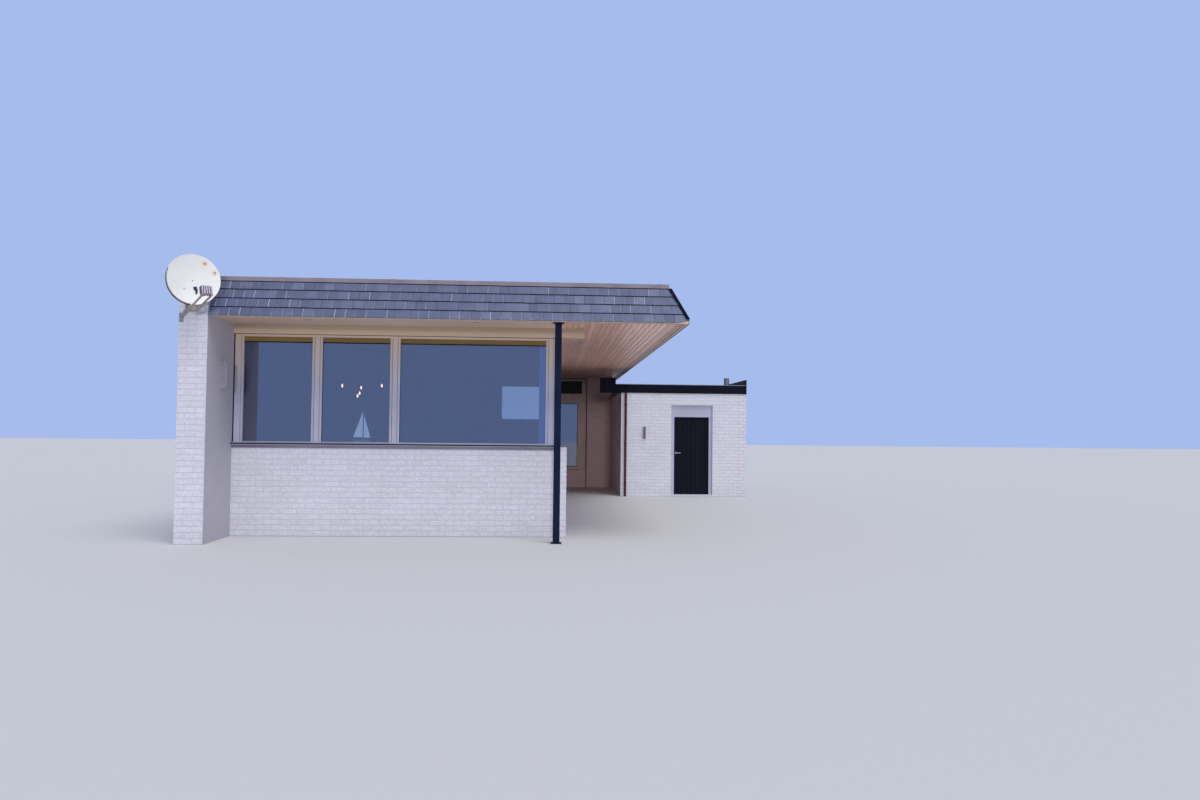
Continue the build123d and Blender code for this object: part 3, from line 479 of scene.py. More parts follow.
def lay_bricks(bricks, corner, along, length, height, holes=(), low=0.0, paint=0, proud=PROUD):
    """Bricks along a wall, outside on the right hand. Holes are (from, to, bottom, top)."""
    course = int(low / COURSE)
    while course * COURSE < height - LOWEST_COURSE:
        z_low = max(low, course * COURSE + BED / 2)
        z_high = min((course + 1) * COURSE - BED / 2, height)
        cuts = sorted({z_low, z_high} | {z for hole in holes for z in hole[2:] if z_low < z < z_high})
        for a, b in zip(cuts, cuts[1:]):
            if b - a < LOWEST_CUT:
                continue
            blocked = [h[:2] for h in holes if h[2] < b - 1e-6 and h[3] > a + 1e-6]
            start = -(BRICK + JOINT) / 2 * (course % 2)
            while start < length:
                pieces = [(max(0.0, start), min(length, start + BRICK))]
                for h0, h1 in blocked:
                    halves = [half for u0, u1 in pieces for half in ((u0, min(u1, h0)), (max(u0, h1), u1))]
                    pieces = [half for half in halves if half[1] > half[0]]
                for u0, u1 in pieces:
                    if u1 - u0 > SHORTEST_CUT:
                        sag = chance.uniform(-SAG, SAG)
                        lift = proud * chance.uniform(LEAST_PROUD, MOST_PROUD)
                        block_on_wall(bricks, corner, along, (u0, a + sag, u1, b + sag), lift, paint)
                start += BRICK + JOINT
        course += 1


def block_on_wall(bricks, corner, along, edges, proud, paint):
    u0, v0, u1, v1 = edges

    def ring(inset, lift):
        a, b, c, d = u0 + inset, v0 + inset, u1 - inset, v1 - inset
        face = Vector(corner) + along.cross(UP) * lift
        return [face + along * u + UP * v for u, v in ((a, b), (c, b), (c, d), (a, d))]
    bricks.prism(ring(0, -SUNK), ring(ARRIS, proud), chance.random(), paint)


def span(name):
    """A node's box as six numbers: x, y and z, each low then high."""
    low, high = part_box(name)
    return low.x, high.x, low.y, high.y, low.z, high.z


pier_x0, pier_x1, pier_y0, pier_y1, _, pier_top = span("party_wall")
front_x0, _, front_y, _, _, sill_top = span("front_wall")
inner_x, corner_x, side_y, _, _, deck_z = span("side_wall")
side_x = span("front_window_frame")[1]
WALL = side_x - inner_x
jamb_x, _, end_y = span("end_wall")[:3]
_, rear_x1, _, rear_y, _, _ = span("rear_wall")
annex_x0, _, annex_y, annex_y1, _, _ = span("annex_left_wall")
annex_x1 = span("annex_party_wall")[1]
door_x0, door_x1, _, _, _, door_top = span("annex_door_frame")
soffit_z = span("soffit_boards")[4]
head_z = span("window_header")[4]
annex_top = span("annex_roof")[4]
drip_top = span("annex_drip")[5]

pier_bricks = Gatherer()
lay_bricks(pier_bricks, (pier_x0, pier_y0, 0), RIGHT, pier_x1 - pier_x0, pier_top)
lay_bricks(pier_bricks, (pier_x0, pier_y1, 0), FRONT, pier_y1 - pier_y0, pier_top)
lay_bricks(pier_bricks, (pier_x1, pier_y1, 0), LEFT, pier_x1 - pier_x0, pier_top)
pier_bricks.make("bricks_of_party_wall", "painted_brick", brick_paint)

# %% The other walls' bricks
def frame_boxes(name):
    """The boxes of a node's separate solids, found by walking its mesh from face to face."""
    mesh = nodes[name].data
    corners = [tuple(round(c, 4) for c in v.co) for v in mesh.vertices]
    parent = {corner: corner for corner in corners}

    def root(corner):
        while parent[corner] != corner:
            corner = parent[corner]
        return corner
    for face in mesh.polygons:
        first = root(corners[face.vertices[0]])
        for v in face.vertices[1:]:
            parent[root(corners[v])] = first
    boxes = {}
    for corner, v in zip(corners, mesh.vertices):
        low, high = boxes.setdefault(root(corner), (Vector(v.co), Vector(v.co)))
        for k in range(3):
            low[k], high[k] = min(low[k], v.co[k]), max(high[k], v.co[k])
    return sorted((tuple(low), tuple(high)) for low, high in boxes.values())


def rear_holes(start, first, last):
    """The openings of the back's windows between two places, in a wall that runs left from start."""
    return [(start - x1, start - x0, z0, z1)
            for (x0, _, z0), (x1, _, z1) in rear_frames if first < x1 < last]


plain_frames = frame_boxes("plain_window_frames")
side_frames = [b for b in plain_frames if b[1][0] - b[0][0] < WALL]
rear_frames = [b for b in plain_frames if b[1][0] - b[0][0] > WALL]
print("windows on unseen sides:", len(side_frames), "beside the terrace,", len(rear_frames), "at the back")

wall_bricks = Gatherer()
base_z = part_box("window_sills")[0].z
post_back = span("front_window_frame")[3] - side_y
beam_z = frame_boxes("window_header")[-1][0][2]
side_holes = [(0, WALL, 0, base_z), (0, post_back, base_z, head_z), (0, WALL, beam_z, soffit_z)]
side_holes += [(y0 - side_y, y1 - side_y, z0, z1) for (_, y0, z0), (_, y1, z1) in side_frames]
lay_bricks(wall_bricks, (front_x0, front_y, 0), RIGHT, corner_x - front_x0, base_z)
lay_bricks(wall_bricks, (corner_x, side_y, 0), BACK, WALL, base_z)
lay_bricks(wall_bricks, (corner_x, side_y + WALL, 0), LEFT, corner_x - side_x, base_z)
lay_bricks(wall_bricks, (side_x, side_y, 0), BACK, end_y - side_y, soffit_z, side_holes)
lay_bricks(wall_bricks, (rear_x1, rear_y, 0), LEFT, rear_x1 - front_x0, soffit_z,
           rear_holes(rear_x1, front_x0, rear_x1))
lay_bricks(wall_bricks, (annex_x0, end_y, 0), BACK, rear_y - end_y, soffit_z, low=drip_top)
wall_bricks.make("bricks_of_main_wing", "painted_brick", brick_paint)

# The terrace's end is painted brown, and so is the annex wall beyond its first metre, where
# the brown is mixed much lighter, painted light in the deep corner
WHITE_RETURN, PAINT_SKIN = 0.96, 0.0015
turn_y = annex_y + WHITE_RETURN
door_low, door_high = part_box("terrace_door_frame")
door_hole = (0, jamb_x - side_x, door_low.z, door_high.z)
terrace_bricks = Gatherer()
lay_bricks(terrace_bricks, (side_x, end_y, 0), RIGHT, annex_x0 - side_x, soffit_z, [door_hole],
           proud=PROUD / 2)
lay_bricks(terrace_bricks, (annex_x0, end_y, 0), FRONT, end_y - turn_y, annex_top, paint=1,
           proud=PROUD / 2)
terrace_bricks.box((annex_x0 - PAINT_SKIN, turn_y, 0), (annex_x0, end_y, annex_top), paint=1)
terrace_bricks.make("bricks_of_terrace_end", "painted_taupe", brown_brick, brown_side_painted_light)

annex_bricks = Gatherer()
door_hole = (door_x0 - annex_x0, door_x1 - annex_x0, 0, door_top)
lay_bricks(annex_bricks, (annex_x0, annex_y, 0), RIGHT, annex_x1 - annex_x0, annex_top, [door_hole])
lay_bricks(annex_bricks, (annex_x1, annex_y1, 0), LEFT, annex_x1 - annex_x0, annex_top,
           rear_holes(annex_x1, rear_x1, annex_x1))
# The first metre of the annex's side is white brick in a darker, warmer grey: painted shade
lay_bricks(annex_bricks, (annex_x0, turn_y, 0), FRONT, WHITE_RETURN, annex_top, paint=1)
annex_bricks.make("bricks_of_annex", "painted_brick", brick_paint, return_painted_shade)

# %% Paint on the plain walls
LINING_T = 0.003
lining = Gatherer()
floor_z = span("living_floor")[5]
lining.box((pier_x1, side_y + post_back, floor_z), (pier_x1 + LINING_T, rear_y - WALL, deck_z))
lining.make("living_room_lining", "concrete", dim_paint)

paint_nodes("front_wall hall_wall annex_left_wall annex_rear_wall annex_front_wall", joint_paint)
paint_nodes("rear_wall", joint_paint, dim_paint, choose=lambda at, out: out.y < -0.5)
paint_nodes("side_wall", joint_paint, cream_wall, choose=lambda at, out: out.y < -0.5 and at.z > head_z)
paint_nodes("door_plinths door_lintels", joint_paint, brown_joints, choose=lambda at, out: at.x < annex_x0)
paint_nodes("party_wall", joint_paint, render_paint, choose=lambda at, out: abs(out.x) > 0.5)
paint_nodes("window_header", cream_wall)
paint_nodes("end_wall", brown_joints)
paint_nodes("annex_party_wall", render_paint)
paint_nodes("living_floor hall_floor annex_floor", screed)

# %% [markdown]
# ## Slates
# Four courses hang below the coping, and the lowest laps 42 mm over the eaves. A course shows
# about 150 mm, a slate is 148 mm wide, and each lies on the one below, so its tail stands about
# 12 mm off the slope and throws the dark line that shows in front. The tails, the slates' sides,
# the strip in the lap above a slate and the bed seen in the gaps are near black, painted shade.
# At the hips the slates are cut along the mitre. Each slate is a thin plate of its own, a touch
# out of true, with a pale strip for its cut edge.

# %% Hang the slates
SLATE_W, SLATE_T, ROWS, GAP, LAP, SEAT = 0.148, 0.008, 4, 0.004, 0.012, 0.0015
TAIL_OUT, PALE_EDGE, OVERHANG, LAP_SHADE, CORNER_CUT = 0.0115, 0.006, 0.042, 0.009, 0.18
WIDER, LOWER, TILT, SLIVER = 0.004, 0.002, 0.0015, 0.004
TONE, TONE_SPREAD, PALE_SHARE = 0.42, 0.17, 0.88
FACE, EDGE, TAIL = range(3)
slates = Gatherer()
slope_low, slope_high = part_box("right_slope")
slope_run = slope_high.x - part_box("roof_coping")[1].x
slope_rise = slope_high.z - slope_low.z
slope_len = math.hypot(slope_run, slope_rise)


def clip(ring, keep_side):
    """The part of a ring where keep_side is not negative."""
    kept = []
    for a, b in zip(ring, ring[1:] + ring[:1]):
        sa, sb = keep_side(a), keep_side(b)
        if sa >= 0:
            kept.append(a)
        if sa * sb < 0:
            t = sa / (sa - sb)
            kept.append((a[0] + (b[0] - a[0]) * t, a[1] + (b[1] - a[1]) * t))
    return kept


def hang_slates(foot, along, inward, length, hip_start, hip_end):
    """Slates on a slope from its foot. A hip leans in by the slope's run over its rise."""
    foot = Vector(foot)
    upslope = (inward * slope_run + UP * slope_rise).normalized()
    outward = (UP * slope_run - inward * slope_rise).normalized()
    lean = slope_run / slope_len
    gauge = (slope_len + OVERHANG) / ROWS

    # Cut at the walls or hips, and run the overhang out to nothing at a hip's foot
    cuts = [lambda p: p[0] - p[1] * lean * hip_start, lambda p: length - p[1] * lean * hip_end - p[0]]
    if hip_start:
        cuts.append(lambda p: p[1] + OVERHANG * p[0] / CORNER_CUT)
    if hip_end:
        cuts.append(lambda p: p[1] + OVERHANG * (length - p[0]) / CORNER_CUT)

    def stand(p, row, lift):
        drop = row + 1 - (p[1] + OVERHANG) / gauge
        return foot + along * p[0] + upslope * p[1] + outward * (SEAT + (TAIL_OUT + lift) * drop)

    for row in range(ROWS):
        u = -SLATE_W * (0.5 if row % 2 else 1.0)
        while u < length:
            w = SLATE_W + chance.uniform(-WIDER, WIDER)
            low = row * gauge - OVERHANG + chance.uniform(-LOWER, LOWER) * (row > 0)
            high = min((row + 1) * gauge - OVERHANG + LAP, slope_len)
            tilt = chance.uniform(-TILT, TILT)
            lift = chance.uniform(0.0, SEAT)
            tone = min(1, max(0, chance.gauss(TONE, TONE_SPREAD)))
            pale = PALE_EDGE if chance.random() < PALE_SHARE else 0.0
            edge_tone = 0.2 + 0.8 * chance.random() ** 1.8
            lap = high - LAP - LAP_SHADE
            left, right = u + GAP / 2, u + w - GAP / 2
            # The strip in the lap above the slate, and all the slate's sides, are painted shade
            strips = [(left, right - pale, low, lap, FACE), (left, right, lap, high, TAIL)]
            if pale:
                strips.append((right - pale, right, low, lap, EDGE))
            for u0, u1, v0, v1, paint in strips:
                ring = [(u0, v0 + tilt), (u1, v0 - tilt), (u1, v1), (u0, v1)]
                for cut in cuts:
                    ring = clip(ring, cut)
                if len(ring) < 3 or max(p[0] for p in ring) - min(p[0] for p in ring) < SLIVER:
                    continue
                under = [stand(p, row, lift) for p in ring]
                over = [p + outward * SLATE_T for p in under]
                if paint == EDGE:
                    slates.prism(under, over, edge_tone, EDGE)
                else:
                    slates.prism(under, over, tone, paint, TAIL)
            u += w


eaves_x, eaves_y0, eaves_y1 = slope_high.x, slope_low.y, slope_high.y
hang_slates((pier_x1, eaves_y0, deck_z), RIGHT, BACK, eaves_x - pier_x1, False, True)
hang_slates((eaves_x, eaves_y0, deck_z), BACK, LEFT, eaves_y1 - eaves_y0, True, True)
hang_slates((eaves_x, eaves_y1, deck_z), LEFT, FRONT, eaves_x - pier_x1, True, False)
slates.make("slates", "slate", slate_face, slate_edge, tail_shade_finish)
paint_nodes("front_slope right_slope rear_slope", bed_shade_finish)

# %% [markdown]
# ## Hip trim, coping laps and eaves
# A folded navy strip closes each hip, and laps about every 1.6 m join the lengths of the
# coping. Both are thin sheet over the solid form.

# %% Hips, laps and trims
HIP_WIDE, HIP_OFF, HIP_FOOT = 0.012, 0.038, 0.055
hips = Gatherer()
for y, side in ((eaves_y0, FRONT), (eaves_y1, BACK)):
    top = Vector((eaves_x - slope_run, y - side.y * slope_run, deck_z + slope_rise))
    foot = Vector((eaves_x, y, deck_z)).lerp(top, HIP_FOOT)
    for wing, face in ((LEFT, side), (-side, RIGHT)):
        near = foot + wing * HIP_WIDE
        hips.push([foot, near, near + face * HIP_OFF, foot + (RIGHT + side) * HIP_OFF], top - foot)
hips.make("hip_trim", "dark_trim", hip_sheet_with_shade, bevel=EASED)

LAP_LONG, LAP_WIDE, LAP_EVERY, SHEET = 0.09, 0.085, 1.58, 0.003
FIRST_X, LAST_X, FIRST_Y, LAST_Y = 0.9, 0.2, 1.3, 0.3
coping_low, coping_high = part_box("roof_coping")
laps = Gatherer()


def coping_lap(x0, x1, y0, y1):
    laps.box((x0, y0, coping_low.z - SHEET), (x1, y1, coping_high.z + SHEET), chance.random())


x = pier_x1 + FIRST_X
while x < coping_high.x - LAST_X:
    coping_lap(x, x + LAP_LONG, coping_low.y - SHEET, coping_low.y + LAP_WIDE)
    coping_lap(x, x + LAP_LONG, coping_high.y - LAP_WIDE, coping_high.y + SHEET)
    x += LAP_EVERY
y = coping_low.y + FIRST_Y
while y < coping_high.y - LAST_Y:
    coping_lap(coping_high.x - LAP_WIDE, coping_high.x + SHEET, y, y + LAP_LONG)
    y += LAP_EVERY
laps.make("coping_laps", "coping_metal", coping_sheet, bevel=EASED)

paint_nodes("roof_coping party_wall_cap", coping_sheet)
paint_nodes("eaves_trim", cream_paint)
paint_nodes("terrace_column", navy_paint)
# The fascia and canopy are stained black. The upstand in the gap under the main soffit is black too, partly
# painted shade
paint_nodes("annex_fascia annex_upstand annex_canopy", black_board_and_shade)
paint_nodes("annex_drip roof_vent", mill_sheet)
paint_nodes("downpipe", pipe_paint)

# %% [markdown]
# ## Soffit boards
# Over the terrace and behind the house the sheet becomes boards, 88 mm on centres and 20 mm
# thick, with a dark gap and a small V between two. In the window's recess it is a smooth cream
# sheet. A flat edge board closes all of it behind the eaves trim, wider over the terrace. Over
# the terrace and along the right side its paint is darker than the boards, painted shade.

# %% Board the soffit
BOARD_EVERY, BOARD_GAP, VEE, NARROWEST = 0.088, 0.003, 0.006, 0.02
FRONT_EDGE, TERRACE_EDGE, SIDE_EDGE = 0.09, 0.25, 0.11
(soffit_x0, soffit_y0, z0), (soffit_x1, soffit_y1, z1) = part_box("soffit_boards")
boards = Gatherer()


def run_of_boards(first, last, y0, y1):
    x = first
    while x < last - NARROWEST:
        end = min(x + BOARD_EVERY - BOARD_GAP, last)
        section = [(x + VEE, z0), (end - VEE, z0), (end, z0 + VEE), (end, z1), (x, z1), (x, z0 + VEE)]
        boards.prism([(a, y0, b) for a, b in section], [(a, y1, b) for a, b in section], chance.random())
        x += BOARD_EVERY


side_edge = soffit_x1 - SIDE_EDGE
boards_y0 = soffit_y0 + TERRACE_EDGE
sheet_y0 = soffit_y0 + FRONT_EDGE
run_of_boards(side_x, annex_x0, boards_y0, end_y)
run_of_boards(annex_x0, side_edge, boards_y0, soffit_y1)
run_of_boards(soffit_x0, annex_x0, rear_y, soffit_y1)
boards.box((soffit_x0, sheet_y0, z0), (side_x, front_y, z1), 0.5, 1)
boards.box((soffit_x0, soffit_y0, z0), (side_x, sheet_y0, z1), 0.6, 1)
boards.box((side_x, soffit_y0, z0), (soffit_x1, boards_y0, z1), 0.6, 2)
boards.box((side_edge, boards_y0, z0), (soffit_x1, soffit_y1, z1), 0.3, 2)
deck_of_boards = boards.make("soffit_board_runs", "soffit_boards", soffit_wood, cream_paint, edge_paint_with_shade)
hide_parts("soffit_boards")

# %% [markdown]
# ## Windows
# Each light has a rebated sash line, black strips in its joints, partly gasket and partly painted
# shadow, and a slim bead in front of the pane. The frame itself is the solid one, in pale gloss
# paint whose turn to cream towards the soffit is painted warm light from the soffit boards.

# %% Beads and gaskets
BEAD, BEAD_EASED, SASH, SASH_SHARE, STEP, WIDEST_SASH = 0.008, 0.0015, 0.026, 0.38, 0.008, 1.5
SEAL_W, SEAL_T, SEAL_IN = 0.005, 0.002, 0.01
NEAR_FACE, THIN = 0.08, 0.1
beads, gaskets_and_shadow_strips = Gatherer(), Gatherer()
frame_low, frame_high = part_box("front_window_frame")
face_y = frame_low.y


def ring_of_bars(bars, low_u, high_u, low_v, high_v, width, place):
    """Four mitred bars inside a rectangle. place turns (u, v, depth share) into a point."""
    outer = [(low_u, low_v), (high_u, low_v), (high_u, high_v), (low_u, high_v)]
    inner = [(low_u + width, low_v + width), (high_u - width, low_v + width),
             (high_u - width, high_v - width), (low_u + width, high_v - width)]
    for k in range(4):
        a, b, c, d = outer[k], outer[(k + 1) % 4], inner[(k + 1) % 4], inner[k]
        bars.prism([place(p, 0) for p in (a, b, c, d)], [place(p, 1) for p in (a, b, c, d)], chance.random())


def in_front(y0, y1):
    return lambda p, share: (p[0], y0 + (y1 - y0) * share, p[1])


def beside(x0, x1):
    return lambda p, share: (x0 + (x1 - x0) * share, p[0], p[1])


glass_boxes = frame_boxes("window_glass")
front_panes = [b for b in glass_boxes if abs(b[0][1] - face_y) < NEAR_FACE]
for (x0, y0, z0), (x1, _, z1) in front_panes:
    ring_of_bars(beads, x0, x1, z0, z1, BEAD, in_front(face_y, y0))
    # The sash stands a step proud of the fixed frame, with black strips in the gap beside it,
    # partly gasket and partly painted shadow
    if x1 - x0 < WIDEST_SASH:
        ring_of_bars(beads, x0 - SASH, x1 + SASH, z0 - SEAL_IN, z1 + SASH, SASH * SASH_SHARE,
                     in_front(face_y - STEP, face_y))
    for x in (x0 - SASH - SEAL_W, x1 + SASH):
        gaskets_and_shadow_strips.box((x, face_y - SEAL_T, z0 + SEAL_IN), (x + SEAL_W, face_y, z1))

# Black strips, painted shadow, in the joints where the frame meets the pier, the header and, inside, the
# blinds' cassettes
FILLET, PIER_JOINT, HEAD_JOINT, BLIND_JOINT = 0.003, 0.018, 0.007, 0.008
gaskets_and_shadow_strips.box((frame_low.x, face_y - FILLET, frame_low.z + SEAL_IN),
            (frame_low.x + PIER_JOINT, face_y, frame_high.z))
gaskets_and_shadow_strips.box((frame_low.x, face_y - FILLET, frame_high.z - HEAD_JOINT), (frame_high.x, face_y, frame_high.z))
for (x0, y0, z0), (x1, _, z1) in frame_boxes("blind_boxes"):
    for foot, head in ((z0 - BLIND_JOINT, z0 + BLIND_JOINT / 2), (z1 - BLIND_JOINT, z1)):
        gaskets_and_shadow_strips.box((x0, y0 - FILLET, foot), (x1, y0 + SEAL_IN, head))

# The other sides' windows have a broader bead, 20 mm deep
DEEP = 0.02
for (x0, y0, z0), (x1, y1, z1) in [b for b in glass_boxes if b not in front_panes]:
    if x1 - x0 < THIN:
        ring_of_bars(beads, y0, y1, z0, z1, BEAD * 2, beside(x1, x1 + DEEP))
    elif y0 > rear_y - 2 * WALL:
        ring_of_bars(beads, x0, x1, z0, z1, BEAD * 2, in_front(y1, y1 + DEEP))

# %% Sill flashing and header board
# Under the frame a black strip, painted shadow, and under that a grey flashing with a small drip
SHADOW_GAP, FLASHING, DRIP_OUT, DRIP_DOWN, HAIR = 0.022, 0.048, 0.008, 0.012, 0.001
flashing = Gatherer()
for (x0, y0, z0), (x1, _, z1) in frame_boxes("window_sills"):
    if y0 < front_y:
        gaskets_and_shadow_strips.box((x0, y0 - SEAL_T, z1 - SHADOW_GAP), (x1, y0, z1 - HAIR))
        drip_y, foot = front_y - DRIP_OUT, z0 - FLASHING
        profile = ((front_y, z0), (y0 - HAIR, z0), (drip_y, z0 - DRIP_DOWN), (drip_y, foot), (front_y, foot))
        flashing.prism([(x0, y, z) for y, z in profile], [(x1, y, z) for y, z in profile])
flashing.make("sill_flashing", "painted_frame", lead_grey)

# A flat board covers the joint over the frame, with a fine line below it
BOARD_T, BOARD_HIGH, FINE_LINE = 0.006, 0.086, 0.002
header_board = Gatherer()
header_board.box((frame_low.x, front_y - BOARD_T, head_z + FINE_LINE),
                 (frame_high.x, front_y, head_z + BOARD_HIGH), 0.6)
header_board.make("header_board", "painted_brick", cream_wall, bevel=EASED)
beads.make("glazing_beads", "painted_frame", frame_paint, bevel=BEAD_EASED)
gaskets_and_shadow_strips.make("window_gaskets_and_shadow_strips", "glass", gasket_and_shadow_black)

# Coated glass in front, a near-black panel over the terrace door, a painted reflection of the
# shaded soffit, and clear glass at the other sides
paint_nodes("window_glass", window_pane, transom_painted_reflection, clear_pane,
            choose=lambda at, out: 0 if at.y < front_y + WALL else 1 if end_y < at.y < end_y + WALL else 2)
paint_nodes("front_window_frame plain_window_frames window_sills annex_door_frame", frame_paint)
paint_nodes("terrace_door_glass", window_pane)
# The olive band over each front light is a blind cassette, and its olive is partly painted reflection of the
# soffit
paint_nodes("blind_boxes", blind_band_with_reflection)
print("front lights:", len(front_panes), "of", len(glass_boxes), "panes")

# %% [markdown]
# ## Doors
# The terrace door is a brown glazed leaf in a brown frame. The annex door is boarded and
# almost black. Its eight boards, 114 mm on centres, stand 6 mm proud of the leaf. Both leaves
# carry their own pieces, so that these move with them.

# %% Door leaves
PLANKS, PLANK_GAP, PLANK_END, CHAMFER = 8, 0.002, 0.004, 0.006
leaf_low, leaf_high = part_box("annex_door_leaf")
step = (leaf_high.x - leaf_low.x) / PLANKS
planks = Gatherer()
for k in range(PLANKS):
    rings = []
    for inset in (0.0, CHAMFER):
        x0, x1 = leaf_low.x + k * step + PLANK_GAP + inset, leaf_low.x + (k + 1) * step - PLANK_GAP - inset
        foot, head = leaf_low.z + PLANK_END + inset, leaf_high.z - PLANK_END - inset
        y = leaf_low.y - inset
        rings.append([(x0, y, foot), (x1, y, foot), (x1, y, head), (x0, y, head)])
    planks.prism(*rings, chance.random())
planks.make("annex_door_boards", "dark_door", dark_leaf, body="annex_door")
paint_nodes("annex_door_leaf", dark_leaf)
paint_nodes("terrace_door_leaf terrace_door_frame", bar_paint)
paint_nodes("annex_door_fittings terrace_door_fittings door_hinges", satin_steel)

DOOR_BEAD, DOOR_BEAD_DEEP = 0.016, 0.014
door_beads = Gatherer()
x0, x1, y0, _, z0, z1 = span("terrace_door_glass")
ring_of_bars(door_beads, x0, x1, z0, z1, DOOR_BEAD, in_front(y0 - DOOR_BEAD_DEEP, y0))

# A dark brown strip over the joint between the frame and the wall is painted shadow of the joint
STRIP, STRIP_T, CLEARANCE = 0.028, 0.008, 0.0002
strips = Gatherer()
strip_y, behind_y, strip_top = end_y - STRIP_T, end_y - CLEARANCE, door_high.z + STRIP
strips.box((door_high.x, strip_y, 0.0), (door_high.x + STRIP, behind_y, strip_top))
strips.box((door_low.x, strip_y, door_high.z), (door_high.x, behind_y, strip_top))
strips.make("door_shadow_strips", "brown_wood", brown_stain_and_shadow, bevel=EASED)
door_beads.make("terrace_door_beads", "brown_wood", brown_stain_and_shadow, body="terrace_door", bevel=EASED)

# %% [markdown]
# ## Roofs
# Flat roofs of this age carry mineral felt in 1 m rolls, lapped by 80 mm. Each roll is a thin
# sheet that lies on the one before, with its own shade of grey.

# %% Felt rolls
ROLL, ROLL_LAP, FELT_T, FELT_OFF = 1.0, 0.08, 0.004, 0.001
felt = Gatherer()


def lay_felt(x0, x1, y0, y1, z):
    y = y0
    while y < y1 - NARROWEST:
        end = min(y + ROLL, y1)
        low, high = z + FELT_OFF, z + FELT_T
        ring = [(x0, y, low), (x1, y, low), (x1, end, high), (x0, end, high)]
        felt.push(ring, UP * FELT_T, chance.random())
        y += ROLL - ROLL_LAP


for roof in ("roof_deck", "annex_roof"):
    x0, x1, y0, y1, _, top = span(roof)
    lay_felt(x0, x1, y0, y1, top)
# The strip under the main soffit is lower up to the drip edge, and as high as the roof beyond it
x0, x1, y0, y1, _, canopy_top = span("annex_canopy")
step_x = span("annex_drip")[0]
lay_felt(x0, step_x, y0, y1, canopy_top)
lay_felt(step_x, x1, y0, y1, top)
felt.make("roof_felt_rolls", "roof_felt", roof_felt)
paint_nodes("roof_deck annex_roof", roof_felt)

# %% [markdown]
# ## Lamps
# The wall lamps are slim powder-coated housings with a panel let into the face, opal on the
# pier. On the annex the same lamp is painted a darker grey, painted shade. The picture window
# shows no image of the lamp beside it, so the lamps are left out of mirror images. The
# downlights are flat rings with an opal lens.

# %% Lamp faces
PANEL_END, PANEL_OUT, PANEL_DEEP = 0.03, 0.005, 0.004
PIER_MARGIN, ANNEX_MARGIN = 0.012, 0.010
LENS_SHARE, LENS_OUT, LENS_T = 0.72, 0.004, 0.005
opal = finish_of("opal_acrylic", {"Base Color": "#BDBBC6", "Roughness": 0.4, "IOR": 1.49})[0]
faces = Gatherer()
for (x0, y0, z0), (x1, y1, z1) in frame_boxes("wall_lamps"):
    foot, head = z0 + PANEL_END, z1 - PANEL_END
    if x0 < 0:
        faces.box((x1 - PANEL_DEEP, y0 + PIER_MARGIN, foot), (x1 + PANEL_OUT, y1 - PIER_MARGIN, head))
    else:
        faces.box((x0 + ANNEX_MARGIN, y0 - PANEL_OUT, foot), (x1 - ANNEX_MARGIN, y0 + PANEL_DEEP, head),
                  paint=1)
for (x0, y0, z0), (x1, y1, _) in frame_boxes("downlights"):
    radius, middle = (x1 - x0) / 2 * LENS_SHARE, Vector(((x0 + x1) / 2, (y0 + y1) / 2, z0 - LENS_OUT))
    turns = [k * math.pi / 16 for k in range(32)]
    faces.push([middle + (RIGHT * math.cos(a) + BACK * math.sin(a)) * radius for a in turns], UP * LENS_T)
panels = faces.make("lamp_panels", "lamp_grey", opal, lamp_coat_painted_shade, bevel=EASED)
paint_nodes("wall_lamps", lamp_coat, lamp_coat_painted_shade, choose=lambda at, out: at.x > 0)
paint_nodes("downlights", lamp_coat)
for lamp_piece in (panels, nodes["wall_lamps"]):
    lamp_piece.visible_glossy = False

# %% [markdown]
# ## Satellite dish
# The reflector is a piece of a paraboloid, pressed with a rolled rim. Its coat has rusted at
# two bolts, and the lower left rim is rust brown, partly rust and partly painted shade. The
# feed at the focus has a ribbed housing.

# %% Dish directions
DISH_TURN, DISH_TILT = math.radians(41), math.radians(20)
FOCUS, OFFSET, HALF_W, HALF_H, STANDOFF, DISH_Z, MAST_R = 0.462, 0.354, 0.366, 0.324, 0.230, 3.678, 0.020
level_beam = Vector((math.sin(DISH_TURN), -math.cos(DISH_TURN), 0))
beam = level_beam * math.cos(DISH_TILT) + UP * math.sin(DISH_TILT)
across = Vector((math.cos(DISH_TURN), math.sin(DISH_TURN), 0))
steep = beam.cross(across)
mast_low, mast_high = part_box("dish_mast")
mast = Vector((mast_high.x - MAST_R, mast_low.y + MAST_R, DISH_Z))
rim_middle = mast + level_beam * STANDOFF
rim_depth = (OFFSET ** 2 + HALF_H ** 2) / (4 * FOCUS)
vertex = rim_middle - steep * OFFSET - beam * rim_depth


def on_dish(u, v, lift=0.0):
    """A point of the reflector, from its middle: u across, v up, in metres."""
    depth = (u * u + (OFFSET + v) ** 2) / (4 * FOCUS)
    return vertex + across * u + steep * (OFFSET + v) + beam * (depth + lift)


low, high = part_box("dish_reflector")
print("dish middle", [round(c, 3) for c in on_dish(0, 0)], "box", [round(c, 3) for c in (*low, *high)])

# %% Rolled rim, bolts and rust
RIM_STEPS, RUST_FROM, RUST_TO = 96, 43, 71
RIM_SHARE, LIP, RIM_UP, FLANGE = 0.996, 0.004, 0.001, 0.036
rim = Gatherer()
# A white bead on the front edge, and behind it the flange, rust brown all round, partly
# rust and partly painted shade on the back of the rolled edge
for share, low_lift, high_lift, paint in ((0.974, -LIP, RIM_UP, 0), (0.988, -FLANGE, -LIP, 1)):
    section = ((share, high_lift), (RIM_SHARE, high_lift), (RIM_SHARE, low_lift), (share, low_lift))
    turns = [2 * math.pi * k / RIM_STEPS for k in range(RIM_STEPS)]
    rim.sweep([[on_dish(HALF_W * math.cos(a) * part, HALF_H * math.sin(a) * part, lift)
                for part, lift in section] for a in turns], paint, closed=True)
